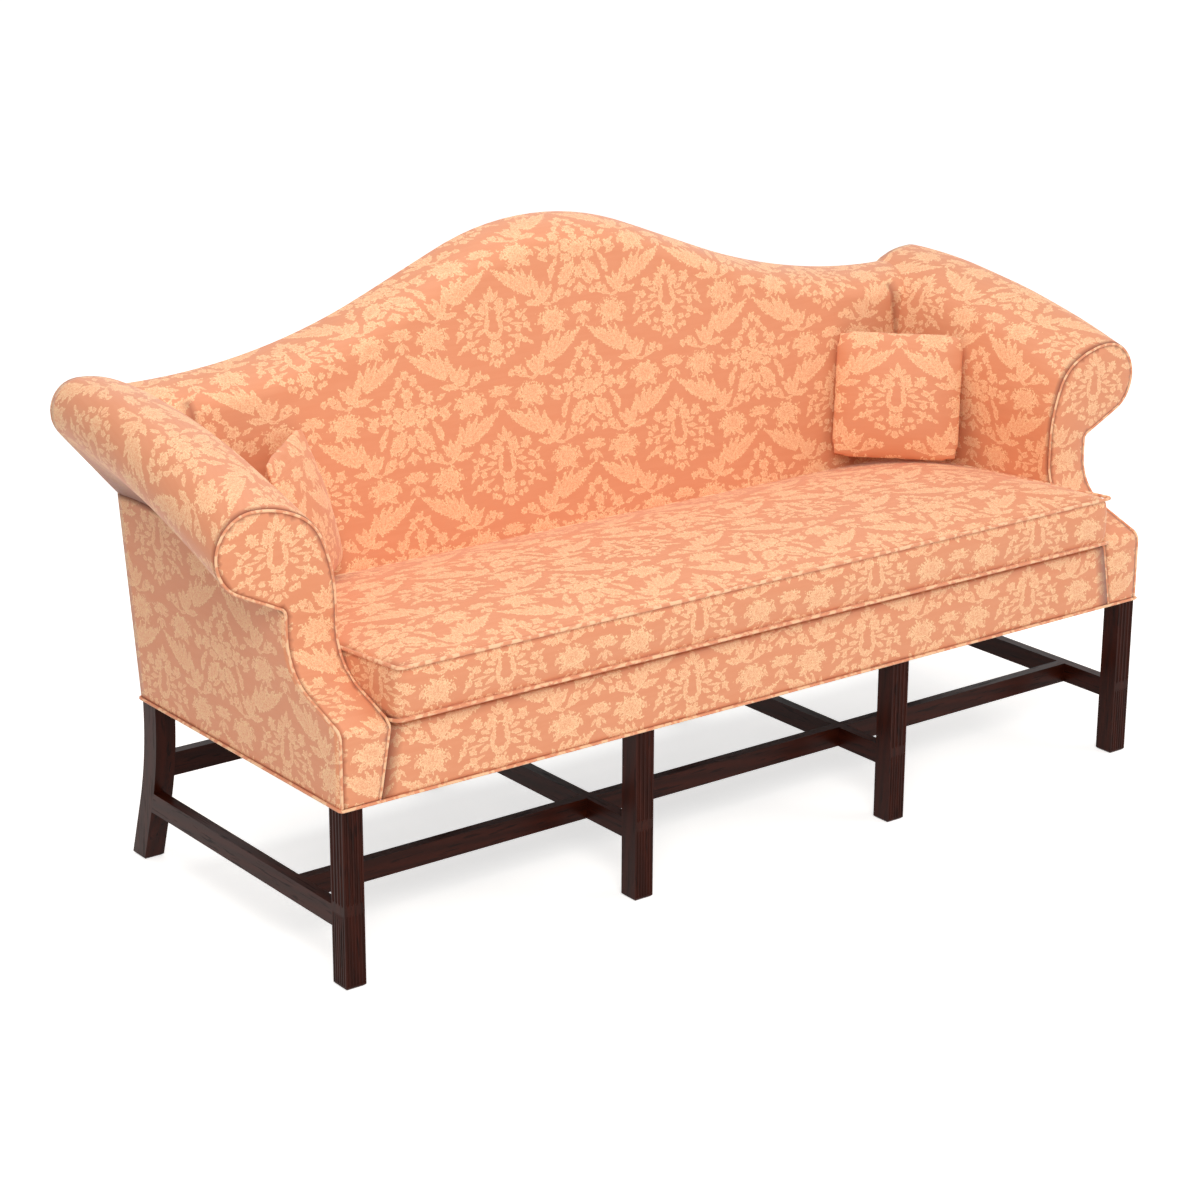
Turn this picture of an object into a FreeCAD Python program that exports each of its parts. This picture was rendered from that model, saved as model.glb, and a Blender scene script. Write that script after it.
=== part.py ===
import FreeCAD, Part
import math
import os

# Camelback sofa with rolled arms on square legs joined by stretchers.
# All sizes are in millimetres. X runs along the sofa, Y from front to back, Z up.
# Y is counted from the front face of the front legs until the pieces are placed.

Vector = FreeCAD.Vector

# Legs
leg_span = 1680.0             # over the outer faces of the corner legs
leg_side = 36.0               # square section of the front legs
rear_leg_depth = 40.0
frame_depth = 600.0           # front face of the front legs to back face of the rear legs
rail_bottom = 290.0           # lower edge of the upholstery
foot_rake = 18.0              # degrees, slope of the rear feet
rake_start = 270.0            # height where the rear legs begin to sweep back
rake_end = 105.0
show_inset = 4.0              # leg stump and rails lie this far behind the show faces
foot_chamfer = 3.0

# Flutes and reeds of the front legs
flute_count = 4
flute_radius = 2.9
flute_depth = 2.0
flute_margin = 5.6            # from the arris to the middle of the first flute
flute_foot = 139.0
reed_groove_count = 6
reed_groove_radius = 1.7
reed_groove_depth = 1.2
reed_margin = 4.2
reed_top = 118.0
reed_foot = 6.0
groove_taper = 5.0            # length over which a groove runs out

# Stretchers
stretcher_thick = 19.0
stretcher_height = 35.0
stretcher_top = 131.0
rear_stretcher_height = 40.0
rear_stretcher_top = 194.0
medial_setback = 141.0        # front face of the medial stretcher
tenon_length = 12.0
medial_tenon_length = 8.0
tenon_shoulder = 4.0
glue_gap = 0.1

# Seat rails and braces
rail_thick = 28.0
rail_lift = 2.0               # rails start this far above the leg shoulders
brace_width = 25.0
brace_height = 45.0
brace_dip = 12.0
block_leg = 70.0              # how far a corner block runs along each rail
block_edge = 8.0
block_height = 34.0

# Deck, from the spring wire up
deck_front = 405.0            # top of the decking at the front of the rail
deck_pitch = 0.07             # fall towards the back, per millimetre
spring_wire = 3.5
burlap_thick = 1.5
pad_thick = 12.0
deck_cloth = 2.0
spring_count = 9
spring_spacing = 168.0
spring_width = 46.0
spring_pitch = 72.0
clip_width = 12.0
clip_wall = 1.5
dust_cloth = 0.8

# Back
back_rake = 0.145             # outside back, horizontal run per unit of height
inside_rake = 0.166
seat_depth_line = 512.0       # face of the inside back, level with the seat
seat_line = 479.0             # height at which that is measured
crest_peak = 979.0
crest_slope = 21.0            # degrees, steepest slope of the camelback
hump_radius = 560.0
hollow_radius = 1200.0
crest_reach = 790.0           # half width where the crest levels out
crest_round = 50.0
crest_rear_round = 16.0
skin = 2.0
crest_pad = 24.0
crest_rail_height = 85.0
frame_board = 28.0
tack_rail_low = 420.0
tack_rail_high = 470.0
upright_width = 32.0
webbing_width = 50.0
webbing_thick = 2.0
webbing_count = 13
webbing_spacing = 120.0

# Arms
arm_inner = 751.0             # half width between the arms
scroll_arcs = ((262.0, 23.0), (87.0, 37.0), (162.0, 30.0), (67.0, 154.0))
roll_end_arcs = ((250.0, 23.0), (80.0, 37.0), (170.0, 30.0), (52.0, 129.0))
scroll_top = 727.0            # height of the roll at the facing
roll_top = 820.0              # height of the roll at the back
scroll_chords = (2, 3, 2, 9)
roll_power = 1.7              # how fast the roll climbs from the facing
neck_radius = 9.0
facing_set = 141.0            # face of the scroll, behind the front legs
facing_cove = 87.0            # radius of the sweep from the scroll to the shoulder
cove_height = 525.0
shoulder_slope = 20.0         # degrees
shoulder_radius = 10.0
cover_proud = 2.0             # covers stand this far outside the leg faces
facing_width = 71.0           # width of the facing at the bottom edge
facing_seam_top = 405.0       # height where the inner edge of the facing turns upright
post_thick = 34.0
post_inset = 12.0
roll_back_end = 650.0
arm_pad_width = 50.0
arm_rail_width = 70.0
arm_rail_thick = 20.0
arm_rail_drop = 78.0
slat_thick = 24.0
slat_low = 440.0
slat_high = 480.0
welt_cord = 2.5               # radius of the cord in the arm and base welts

# Seat cushion
cushion_nose = 18.0           # overhang in front of the legs
cushion_boxing = 95.0
cushion_crown = 22.0
cushion_bulge = 2.5           # how far the boxing swells forward
cushion_gap = 0.6
cushion_skin = 3.5
cushion_shell = 1.2
welt_radius = 3.0

# Throw pillows
pillow_width = 240.0
pillow_height = 240.0
pillow_thick = 62.0
pillow_edge = 9.0
pillow_draw = 5.0
pillow_cloth = 1.5
right_pillow_lean = 17.0
right_pillow_turn = -46.5
right_pillow_foot = (627.0, 412.2, 489.65)
left_pillow_lean = 17.0
left_pillow_turn = 45.0
left_pillow_foot = (-596.0, 413.2, 492.1)

half_span = leg_span / 2
corner_x = half_span - leg_side / 2
middle_x = corner_x / 3
stump_x = half_span - show_inset
leg_inner_x = half_span - leg_side
rail_y = show_inset
cover_thick = show_inset + cover_proud
arm_outer = half_span + cover_proud
rear_front_y = frame_depth - rear_leg_depth
stack = spring_wire + burlap_thick + pad_thick + deck_cloth


def spot(plane, at, point):
    """Point of a flat outline put into space."""
    a, b = point
    if plane == "yz":
        return Vector(at, a, b)
    if plane == "xz":
        return Vector(a, at, b)
    return Vector(a, b, at)


def outline(plane, at, start, steps):
    """Closed wire: a step with one point is a line, with two an arc through the first."""
    edges = []
    here = start
    for step in steps + [(start,)]:
        goal = step[-1]
        if math.dist(here, goal) < 1e-6:
            continue
        first = spot(plane, at, here)
        last = spot(plane, at, goal)
        if len(step) == 1:
            edges.append(Part.LineSegment(first, last).toShape())
        else:
            edges.append(Part.Arc(first, spot(plane, at, step[0]), last).toShape())
        here = goal
    return Part.Wire(edges)


AXIS = {"yz": Vector(1, 0, 0), "xz": Vector(0, 1, 0), "xy": Vector(0, 0, 1)}


def prism(plane, low, high, start, steps):
    """Outline drawn on its plane at the low side and pushed to the high side."""
    face = Part.Face(outline(plane, low, start, steps))
    return face.extrude(AXIS[plane] * (high - low))


def block(x, y, z):
    """Box between pairs of limits."""
    size = [limits[1] - limits[0] for limits in (x, y, z)]
    return Part.makeBox(*size, Vector(x[0], y[0], z[0]))


def corners(points):
    return points[0], [(point,) for point in points[1:]]


def poly(plane, low, high, points):
    start, steps = corners(points)
    return prism(plane, low, high, start, steps)


def mirrored(shape):
    return shape.mirror(Vector(0, 0, 0), Vector(1, 0, 0))


def solids_of(shape):
    return Part.makeCompound(shape.Solids)


def chord_points(here, via, goal, turn_each):
    """Points that divide an arc into equal chords, without its start."""
    bend = Part.Arc(here, via, goal).toShape()
    turn = math.degrees(bend.LastParameter - bend.FirstParameter)
    count = max(2, math.ceil(turn / turn_each))
    share = (bend.LastParameter - bend.FirstParameter) / count
    return [bend.valueAt(bend.FirstParameter + share * (index + 1)) for index in range(count)]


def cord(path, radius, turn_each=22.0):
    """Cord along a chain of points and arcs, with an eight-sided section."""
    points = [Vector(*path[0])]
    for step in path[1:]:
        goal = Vector(*step[-1])
        if len(step) == 1:
            points.append(goal)
        else:
            points += chord_points(points[-1], Vector(*step[0]), goal, turn_each)
    ways = [(b - a).normalize() for a, b in zip(points, points[1:])]
    side = ways[0].cross(Vector(0, 0, 1) if abs(ways[0].z) < 0.9 else Vector(1, 0, 0)).normalize()
    wires = []
    for index, point in enumerate(points):
        before, after = ways[max(index - 1, 0)], ways[min(index, len(ways) - 1)]
        facing = (before + after).normalize()
        rise = before.cross(side).normalize()
        ring = []
        for corner in range(8):
            angle = math.radians(45 * corner + 22.5)
            reach = side * (radius * math.cos(angle)) + rise * (radius * math.sin(angle))
            reach -= before * (reach.dot(facing) / before.dot(facing))
            ring.append(point + reach)
        wires.append(Part.makePolygon(ring + ring[:1]))
        side = (side - after * side.dot(after)).normalize()
    return Part.makeLoft(wires, True, True)


def closed_cord(halves, radius):
    return cord(halves[0], radius).fuse(cord(halves[1], radius)).removeSplitter()


def reversed_steps(start, steps):
    """The same chain of lines and arcs walked from its end."""
    marks = [start] + [step[-1] for step in steps]
    backward = []
    for index in range(len(steps) - 1, -1, -1):
        step = steps[index]
        backward.append((marks[index],) if len(step) == 1 else (step[0], marks[index]))
    return marks[-1], backward


# Heights and depths that several pieces share
def deck_top(y):
    return deck_front - deck_pitch * y


def rail_top(y):
    return deck_top(y) - stack


def back_face(z):
    return frame_depth + cover_proud + back_rake * (z - rail_bottom)


def inside_face(z):
    return seat_depth_line + inside_rake * (z - seat_line)


angle = math.radians(crest_slope)
hump_end = hump_radius * math.sin(angle)
hump_drop = hump_radius * (1 - math.cos(angle))
hollow_start = crest_reach - hollow_radius * math.sin(angle)
slope_drop = (hollow_start - hump_end) * math.tan(angle)
hollow_drop = hollow_radius * (1 - math.cos(angle))
crest_end = crest_peak - hump_drop - slope_drop - hollow_drop


def crest(x):
    """Height of the camelback at a distance from the middle."""
    x = min(abs(x), crest_reach)
    if x < hump_end:
        return crest_peak - hump_radius + math.sqrt(hump_radius ** 2 - x ** 2)
    if x < hollow_start:
        return crest_peak - hump_drop - (x - hump_end) * math.tan(angle)
    away = crest_reach - x
    return crest_end + hollow_radius - math.sqrt(hollow_radius ** 2 - away ** 2)


def crest_line(drop, reach, leftward):
    """Steps of the crest outline from one end to the other, lowered by a drop."""
    marks = [reach, (reach + hollow_start) / 2, hollow_start]
    half = [
        ((marks[1], crest(marks[1]) - drop), (marks[2], crest(marks[2]) - drop)),
        ((hump_end, crest(hump_end) - drop),),
    ]
    middle = ((0.0, crest_peak - drop), (-hump_end, crest(hump_end) - drop))
    other = [
        ((-marks[2], crest(marks[2]) - drop),),
        ((-marks[1], crest(marks[1]) - drop), (-reach, crest(reach) - drop)),
    ]
    steps = half + [middle] + other
    if leftward:
        return steps
    return [tuple((-x, z) for x, z in step) for step in steps]


# Show wood
def gouge(middle, length, radius, tip, taper_low, taper_high):
    """Eight-sided cutter that stands upright and narrows at its tapered ends."""
    stages = [(0.0, radius), (length, radius)]
    if taper_low:
        stages.insert(0, (-taper_low, tip))
    if taper_high:
        stages.append((length + taper_high, tip))
    wires = []
    for rise, reach in stages:
        turns = [math.radians(45 * corner) for corner in range(8)]
        ring = [middle + Vector(reach * math.cos(turn), reach * math.sin(turn), rise)
                for turn in turns]
        wires.append(Part.makePolygon(ring + ring[:1]))
    return Part.makeLoft(wires, True, True)


def grooved(leg, x, faces, count, radius, depth, margin, low, high, taper_low, taper_high):
    """Cut upright grooves that run out at their ends into the front, and the side, of a leg."""
    pitch = (leg_side - 2 * margin) / (count - 1)
    tip = (radius - depth) * 0.8
    cutters = []
    for face in faces:
        for index in range(count):
            across = margin + index * pitch
            if face == "front":
                middle = Vector(x - leg_side / 2 + across, depth - radius, low)
            else:
                middle = Vector(face * (half_span + radius - depth), across, low)
            cutters.append(gouge(middle, high - low, radius, tip, taper_low, taper_high))
    return leg.cut(cutters)


def front_leg(x):
    side = 0 if abs(x) < corner_x else math.copysign(1, x)
    low, high = x - leg_side / 2, x + leg_side / 2
    leg = block((low, high), (0, leg_side), (0, rail_bottom))
    foot = [edge for edge in leg.Edges if edge.BoundBox.ZMax < 1e-3]
    leg = leg.makeChamfer(foot_chamfer, foot)
    if side:
        stump_low = low if side > 0 else low + show_inset
        stump_high = high - show_inset if side > 0 else high
        stump = block((stump_low, stump_high), (rail_y, leg_side), (rail_bottom - 1, deck_front))
        faces = ["front", side]
    else:
        stump = block((low, high), (leg_side / 2, leg_side), (rail_bottom - 1, deck_front))
        faces = ["front"]
    leg = leg.fuse(stump.cut(above_rails)).removeSplitter()
    leg = grooved(leg, x, faces, flute_count, flute_radius, flute_depth, flute_margin,
                  flute_foot, rail_bottom - 1, groove_taper, 0)
    return grooved(leg, x, faces, reed_groove_count, reed_groove_radius, reed_groove_depth,
                   reed_margin, reed_foot, reed_top, 0, groove_taper)


def rear_leg_outline(front_shift):
    """Back edge of the swept foot as an arc and a slope, moved forward by a shift."""
    slope = math.radians(foot_rake)
    radius = (rake_start - rake_end) / math.sin(slope)
    edge = frame_depth - front_shift
    knee = (edge + radius * (1 - math.cos(slope)), rake_end)
    waist = (edge + radius * (1 - math.cos(slope / 2)), rake_start - radius * math.sin(slope / 2))
    foot = (knee[0] + rake_end * math.tan(slope), 0.0)
    return (edge, rake_start), waist, knee, foot


def rear_foot(low, high):
    back_top, back_waist, back_knee, back_foot = rear_leg_outline(0)
    front_top, front_waist, front_knee, front_foot = rear_leg_outline(rear_leg_depth)
    steps = [((back_top[0], rake_start),), (back_waist, back_knee), (back_foot,), (front_foot,),
             (front_knee,), (front_waist, front_top), ((front_top[0], rail_bottom),)]
    leg = prism("yz", low, high, (back_top[0], rail_bottom), steps)
    foot = [edge for edge in leg.Edges if edge.BoundBox.ZMax < 1e-3]
    return leg.makeChamfer(foot_chamfer, foot)


post_top = crest(half_span) - crest_pad - crest_rail_height


def rear_leg(x):
    low, high = x - leg_side / 2, x + leg_side / 2
    leg = rear_foot(low, high)
    if abs(x) < corner_x:
        stump = block((low, high), (rear_front_y, rear_front_y + leg_side / 2 + 4),
                      (rail_bottom - 1, deck_front))
        return leg.fuse(stump.cut(above_rails)).removeSplitter()
    if x > 0:
        high -= show_inset
    else:
        low += show_inset
    base = rail_bottom - 1
    rear = back_face(rail_bottom) - cover_proud - show_inset
    top_rear = back_face(post_top) - cover_proud - show_inset
    points = [(rear_front_y, base), (rear, base), (rear, rail_bottom), (top_rear, post_top),
              (top_rear - frame_board, post_top), (rear_front_y, rail_bottom)]
    post = poly("yz", low, high, points)
    return leg.fuse(post).removeSplitter()


def with_tenons(body, tenons):
    for tenon in tenons:
        body = body.fuse(tenon)
    return body.removeSplitter()


def grown(box):
    """Mortise for a tenon, with room for glue at its end and cheeks."""
    bounds = box.BoundBox
    return block((bounds.XMin - glue_gap, bounds.XMax + glue_gap),
                 (bounds.YMin - glue_gap, bounds.YMax + glue_gap),
                 (bounds.ZMin - glue_gap, bounds.ZMax + glue_gap))


stretcher_z = (stretcher_top - stretcher_height, stretcher_top)
tenon_z = (stretcher_z[0] + tenon_shoulder, stretcher_z[1] - tenon_shoulder)
rear_z = (rear_stretcher_top - rear_stretcher_height, rear_stretcher_top)
rear_tenon_z = (rear_z[0] + tenon_shoulder, rear_z[1] - tenon_shoulder)


def deep_stretcher(middle, leg):
    """Stretcher from a front leg to the rear leg behind it, with its tenons."""
    half = stretcher_thick / 2
    x = (middle - half, middle + half)
    body = block(x, (leg_side, frame_depth), stretcher_z).cut(leg)
    tenon_x = (x[0] + tenon_shoulder, x[1] - tenon_shoulder)
    rear_reach = body.BoundBox.YMin + body.BoundBox.YLength + tenon_length
    front = block(tenon_x, (leg_side - tenon_length, leg_side + 1), tenon_z)
    rear = block(tenon_x, (rear_front_y, rear_reach), tenon_z)
    return with_tenons(body, [front, rear]), grown(front), grown(rear)


def cross_length(low, high, y, z, tenon_zs, length):
    """Stretcher along X between two faces, with tenons past the ends that have a mortise."""
    body = block((low, high), y, z)
    tenon_y = (y[0] + tenon_shoulder, y[1] - tenon_shoulder)
    left = block((low - length, low + 1), tenon_y, tenon_zs)
    right = block((high - 1, high + length), tenon_y, tenon_zs)
    return with_tenons(body, [left, right]), grown(left), grown(right)


# Everything above the tops of the seat rails, used to trim what stands on them
above_rails = poly("yz", -half_span, half_span,
                   [(-50, rail_top(-50)), (frame_depth + 50, rail_top(frame_depth + 50)),
                    (frame_depth + 50, crest_peak), (-50, crest_peak)])


def layer(low, high, x, y):
    """Flat layer of the deck between two heights above the rails, sloping with the seat."""
    points = [(y[0], rail_top(y[0]) + low), (y[1], rail_top(y[1]) + low),
              (y[1], rail_top(y[1]) + high), (y[0], rail_top(y[0]) + high)]
    return poly("yz", x[0], x[1], points)


# Arms. Sections run over the roll from the inner face to the neck, for the right arm.
def roll_share(y):
    return max(0.0, min(1.0, (y - facing_set) / (roll_back_end - facing_set)))


def between(front, back, share):
    return front + (back - front) * share


def roll_ridge(y):
    return roll_top - (roll_top - scroll_top) * (1 - roll_share(y)) ** roll_power


def scroll_chain(y, inset):
    """Tangent arcs over the roll, from the inner face to the underside, and the last heading.

    An inset moves them into the arm, which leaves their centres where they are."""
    share = roll_share(y)
    arcs = [(between(front[0], back[0], share), between(front[1], back[1], share))
            for front, back in zip(scroll_arcs, roll_end_arcs)]
    heading = math.pi / 2
    climb = 0.0
    for radius, turn in arcs[:3]:
        after = heading - math.radians(turn)
        climb += radius * (math.cos(after) - math.cos(heading))
        heading = after
    heading = math.pi / 2
    here = (arm_inner + inset, roll_ridge(y) - climb)
    chain = [here]
    for radius, turn in arcs:
        after = heading - math.radians(turn)
        half = (heading + after) / 2
        reach = radius - inset
        centre = (here[0] + reach * math.sin(heading), here[1] - reach * math.cos(heading))
        via = (centre[0] - reach * math.sin(half), centre[1] + reach * math.cos(half))
        here = (centre[0] - reach * math.sin(after), centre[1] + reach * math.cos(after))
        chain.append((via, here))
        heading = after
    return chain, heading


def faceted(y, inset):
    """The same arcs as chords, for surfaces that change along the arm."""
    chain, heading = scroll_chain(y, inset)
    here = spot("xz", y, chain[0])
    points = [(chain[0],)]
    for (via, goal), count in zip(chain[1:], scroll_chords):
        bend = Part.Arc(here, spot("xz", y, via), spot("xz", y, goal)).toShape()
        share = (bend.LastParameter - bend.FirstParameter) / count
        for index in range(count):
            here = bend.valueAt(bend.FirstParameter + share * (index + 1))
            points.append(((here.x, here.z),))
    return points


def neck(y, inset):
    """Where the underside of the roll meets the outside cover."""
    chain, heading = scroll_chain(y, inset)
    last = chain[-1][-1]
    return (arm_outer - inset, last[1] + (arm_outer - inset - last[0]) * math.tan(heading))


roll_stations = [-30.0, facing_set, 230.0, 320.0, 420.0, 530.0, 740.0]


def roll_loft(section):
    """Ruled loft of a section that is drawn at each station along the arm."""
    return Part.makeLoft([section(y) for y in roll_stations], True, True)


def arm_section(inset, bottom):
    """Whole arm from its inner face over the roll and down its outer face."""
    def section(y):
        steps = faceted(y, inset) + [(neck(y, inset),), ((arm_outer - inset, bottom),)]
        return outline("xz", y, (arm_inner + inset, bottom), steps)
    return section


def inner_pad_section(y):
    """Padding of the inner face and the roll, open below the roll on the outside."""
    far = arm_inner + arm_pad_width
    under = neck(y, skin)
    steps = faceted(y, skin) + [(under,), ((far, under[1] - 12),), ((far, rail_bottom),)]
    return outline("xz", y, (arm_inner + skin, rail_bottom), steps)


def inner_skin_section(y):
    """Cover over the inner face and the roll, as one bent strip that ends at the neck."""
    steps = faceted(y, 0.0) + [(neck(y, 0.0),), (neck(y, skin),)]
    steps += faceted(y, skin)[::-1] + [((arm_inner + skin, rail_bottom),)]
    return outline("xz", y, (arm_inner, rail_bottom), steps)


def sweep_line(depth):
    """Side profile of the arm front: upright, shoulder, slope, cove, upright.

    A depth moves it into the arm. Returns the start and the steps up to the top."""
    front = depth - cover_proud
    slope = math.radians(shoulder_slope)
    centre = (facing_set - facing_cove, cove_height)
    radius = facing_cove + depth
    cove_foot = (centre[0] + radius * math.sin(slope), centre[1] - radius * math.cos(slope))
    half_turn = (90 + shoulder_slope) / 2
    cove_middle = (centre[0] + radius * math.sin(math.radians(half_turn)),
                   centre[1] - radius * math.cos(math.radians(half_turn)))
    cove_top = (centre[0] + radius, centre[1])
    shoulder = max(shoulder_radius - depth, 1.0)
    corner = (front, cove_foot[1] - (cove_foot[0] - front) * math.tan(slope))
    setback = shoulder * math.tan((math.pi / 2 - slope) / 2)
    low = (front, corner[1] - setback)
    high = (corner[0] + setback * math.cos(slope), corner[1] + setback * math.sin(slope))
    middle_angle = math.radians(180 - (90 - shoulder_slope) / 2)
    middle = (front + shoulder + shoulder * math.cos(middle_angle),
              low[1] + shoulder * math.sin(middle_angle))
    steps = [(low,), (middle, high), (cove_foot,), (cove_middle, cove_top),
             ((cove_top[0], roll_top + 60),)]
    return (front, rail_bottom - 20), steps


def in_front_of(depth):
    """Space in front of the arm's side profile."""
    start, steps = sweep_line(depth)
    steps = steps + [((-100.0, roll_top + 60),), ((-100.0, rail_bottom - 20),)]
    return prism("yz", arm_inner - 60, half_span + 200, start, steps)


def facing_sheet(low, high):
    """Curved sheet between two depths behind the side profile."""
    start, steps = sweep_line(low)
    inner_start, inner_steps = sweep_line(high)
    top, backward = reversed_steps(inner_start, inner_steps)
    steps = steps + [(top,)] + backward
    return prism("yz", arm_inner - 20, half_span + 200, start, steps)


def behind_back(gap):
    """Space behind the outside back, moved forward by a gap."""
    low, high = rail_bottom - 60, crest_peak + 60
    points = [(back_face(low) - gap, low), (back_face(high) - gap, high),
              (frame_depth + 400, high), (frame_depth + 400, low)]
    return poly("yz", -1200, 1200, points)


def neck_bend(inset):
    """Rounded corner under the scroll: end of the underside, middle, start of the upright."""
    chain, heading = scroll_chain(0.0, inset)
    corner = neck(0.0, inset)
    radius = neck_radius + inset
    turn = heading + math.pi / 2
    setback = radius * math.tan(abs(turn) / 2)
    high = (corner[0] - setback * math.cos(heading), corner[1] - setback * math.sin(heading))
    low = (corner[0], corner[1] - setback)
    centre = (corner[0] + radius, low[1])
    half = math.pi - abs(turn) / 2
    middle = (centre[0] + radius * math.cos(half), centre[1] + radius * math.sin(half))
    return high, middle, low


def facing_outline(inset):
    """Front outline of the arm, from the bottom edge round the scroll."""
    high, middle, low = neck_bend(inset)
    steps = [((arm_inner + inset, facing_seam_top),)] + faceted(0.0, inset)
    steps += [(high,), (middle, low), ((arm_outer - inset, rail_bottom),)]
    return (arm_outer - facing_width + inset, rail_bottom), steps


def right_arm_parts(rear, crest_rail, lower_rail, welt):
    """Posts, rails, padding and covers of the right arm."""
    start, steps = facing_outline(2 * welt_cord)
    facing = facing_sheet(0.0, cover_thick).common(prism("xz", -40, 260, start, steps))
    facing = facing.cut(welt)
    start, steps = facing_outline(post_inset)
    post = facing_sheet(cover_thick, cover_thick + post_thick).common(
        prism("xz", -40, 260, start, steps))
    post = post.common(above_rails)
    front_room = in_front_of(cover_thick)
    back_room = behind_back(cover_thick)
    post_back = facing_set + cover_thick + post_thick
    leg_x = (leg_inner_x, stump_x)
    rail_front = roll_ridge(post_back) - arm_rail_drop
    rear_y = back_face(post_top) - cover_thick - frame_board
    rail_rear = min(roll_ridge(rear_y) - arm_rail_drop, post_top - arm_rail_thick)
    arm_rail = poly("yz", leg_x[0] - 10, leg_x[0] - 10 + arm_rail_width,
                    [(post_back - 20, rail_front), (rear_y + 20, rail_rear),
                     (rear_y + 20, rail_rear + arm_rail_thick),
                     (post_back - 20, rail_front + arm_rail_thick)])
    arm_rail = arm_rail.cut([post, rear, crest_rail])
    slat_x = (arm_inner + arm_pad_width, arm_inner + arm_pad_width + slat_thick)
    slat = block(slat_x, (facing_set + cover_thick, frame_depth), (slat_low, slat_high))
    slat = solids_of(slat.cut([post, rear, back_room, lower_rail]))
    inner = roll_loft(inner_skin_section).cut(front_room).cut(back_room)
    inner = inner.cut([crest_rail, lower_rail, below_deck])
    start, steps = sweep_line(cover_thick)
    seam = [(y, neck(y, skin)[1]) for y in roll_stations[1:]]
    seam[0] = (facing_set + cover_thick, seam[0][1])
    steps = steps[:-1] + [(point,) for point in seam] + [((seam[-1][0], rail_bottom),)]
    outer = prism("yz", arm_outer - cover_thick, arm_outer, (start[0], rail_bottom), steps)
    outer = outer.cut(back_room).cut(inner)
    post = post.cut(outer)
    pad = roll_loft(inner_pad_section).cut(front_room).cut(back_room)
    pad = pad.cut([post, arm_rail, slat, rear, crest_rail, lower_rail, outer, below_deck])
    return {"facing": facing, "post": post, "rail": arm_rail, "slat": slat, "padding": pad,
            "inside_cover": inner, "outside_cover": outer}


def in_space(x, steps):
    """Chain in the YZ plane put at a distance from the middle."""
    return [tuple((x, y, z) for y, z in step) for step in steps]


def facing_welt():
    """Cord round the facing: up the outer edge, round the scroll, down the inner edge."""
    start, steps = sweep_line(welt_cord)
    start = (start[0], rail_bottom + 2 * welt_cord)
    y = facing_set + welt_cord
    outer_x, inner_x = arm_outer - welt_cord, arm_inner + welt_cord
    chain, heading = scroll_chain(0.0, welt_cord)
    high, middle, low = neck_bend(welt_cord)
    path = [(outer_x,) + start] + in_space(outer_x, steps[:-1])
    path += [((low[0], y, low[1]),), ((middle[0], y, middle[1]), (high[0], y, high[1]))]
    last = chain[-1][-1]
    path.append(((last[0], y, last[1]),))
    top, backward = reversed_steps(chain[0], chain[1:])
    path += [tuple((x, y, z) for x, z in step) for step in backward]
    top, fall = reversed_steps(start, steps[:-1])
    path += [((inner_x,) + top,)] + in_space(inner_x, fall[:-1])
    path.append(((arm_outer - facing_width + welt_cord,) + start,))
    return cord(path, welt_cord)


# Seat cushion
def cushion_rear(lift):
    """Rear face of the cushion at a height above the deck, on the slope of the back."""
    return inside_face(deck_top(seat_depth_line) + lift) - cushion_gap


def cushion_section(x, inset, crown):
    """Front to back section: flat base, boxing, crown."""
    front = inset - cushion_nose
    rear = [cushion_rear(lift) - inset for lift in (inset, cushion_boxing - inset)]
    base = [deck_top(y) + cushion_gap + inset for y in (front, rear[0])]
    top = [deck_top(y) + cushion_gap + cushion_boxing - inset for y in (front, rear[1])]
    middle = (front + rear[1]) / 2
    ridge = (top[0] + top[1]) / 2 + crown
    bulge = cushion_bulge if crown > 4 else 0.5
    steps = [((rear[0], base[1]),),
             (((rear[0] + rear[1]) / 2 + 0.1, (base[1] + top[1]) / 2), (rear[1], top[1])),
             ((middle, ridge), (front, top[0])),
             ((front - bulge, (base[0] + top[0]) / 2), (front, base[0]))]
    return outline("yz", x, (front, base[0]), steps)


cushion_stations = [(1.0, 0.5), (0.98, 9.0), (0.88, 17.0), (0.5, cushion_crown)]


def cushion_body(inset):
    reach = arm_inner - cushion_gap - inset
    wires = []
    for share, crown in cushion_stations:
        wires.append(cushion_section(-reach * share, inset, crown))
    for share, crown in cushion_stations[::-1]:
        wires.append(cushion_section(reach * share, inset, crown))
    return Part.makeLoft(wires, True, True)


def cushion_cord(lift):
    """Welt round the cushion at a height above its base."""
    bend = 12.0
    reach = arm_inner - cushion_gap - welt_radius
    front = welt_radius - cushion_nose - 1.0
    rear = cushion_rear(lift) - welt_radius
    half = [(0, front), (reach - bend, front), (reach - bend * 0.293, front + bend * 0.293),
            (reach, front + bend), (reach, rear - bend),
            (reach - bend * 0.293, rear - bend * 0.293), (reach - bend, rear), (0, rear)]
    height = cushion_gap + lift
    right = [(x, y, deck_top(y) + height) for x, y in half]
    left = [(-x, y, z) for x, y, z in right]
    return closed_cord([[side[0]] + [(point,) for point in side[1:]] for side in (right, left)],
                       welt_radius)


# Pillows
def swelling(low, high, edge, thick):
    """Outline of a pillow seen from its side: as far as the edge at both ends, full between."""
    front = [(edge, low)]
    for part in (1, 2, 3, 4, 5):
        rise = part / 6
        swell = edge + (thick - edge) * (4 * rise * (1 - rise)) ** 0.8
        front.append((swell, low + (high - low) * rise))
    front.append((edge, high))
    return front + [(-swell, height) for swell, height in front[::-1]]


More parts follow.
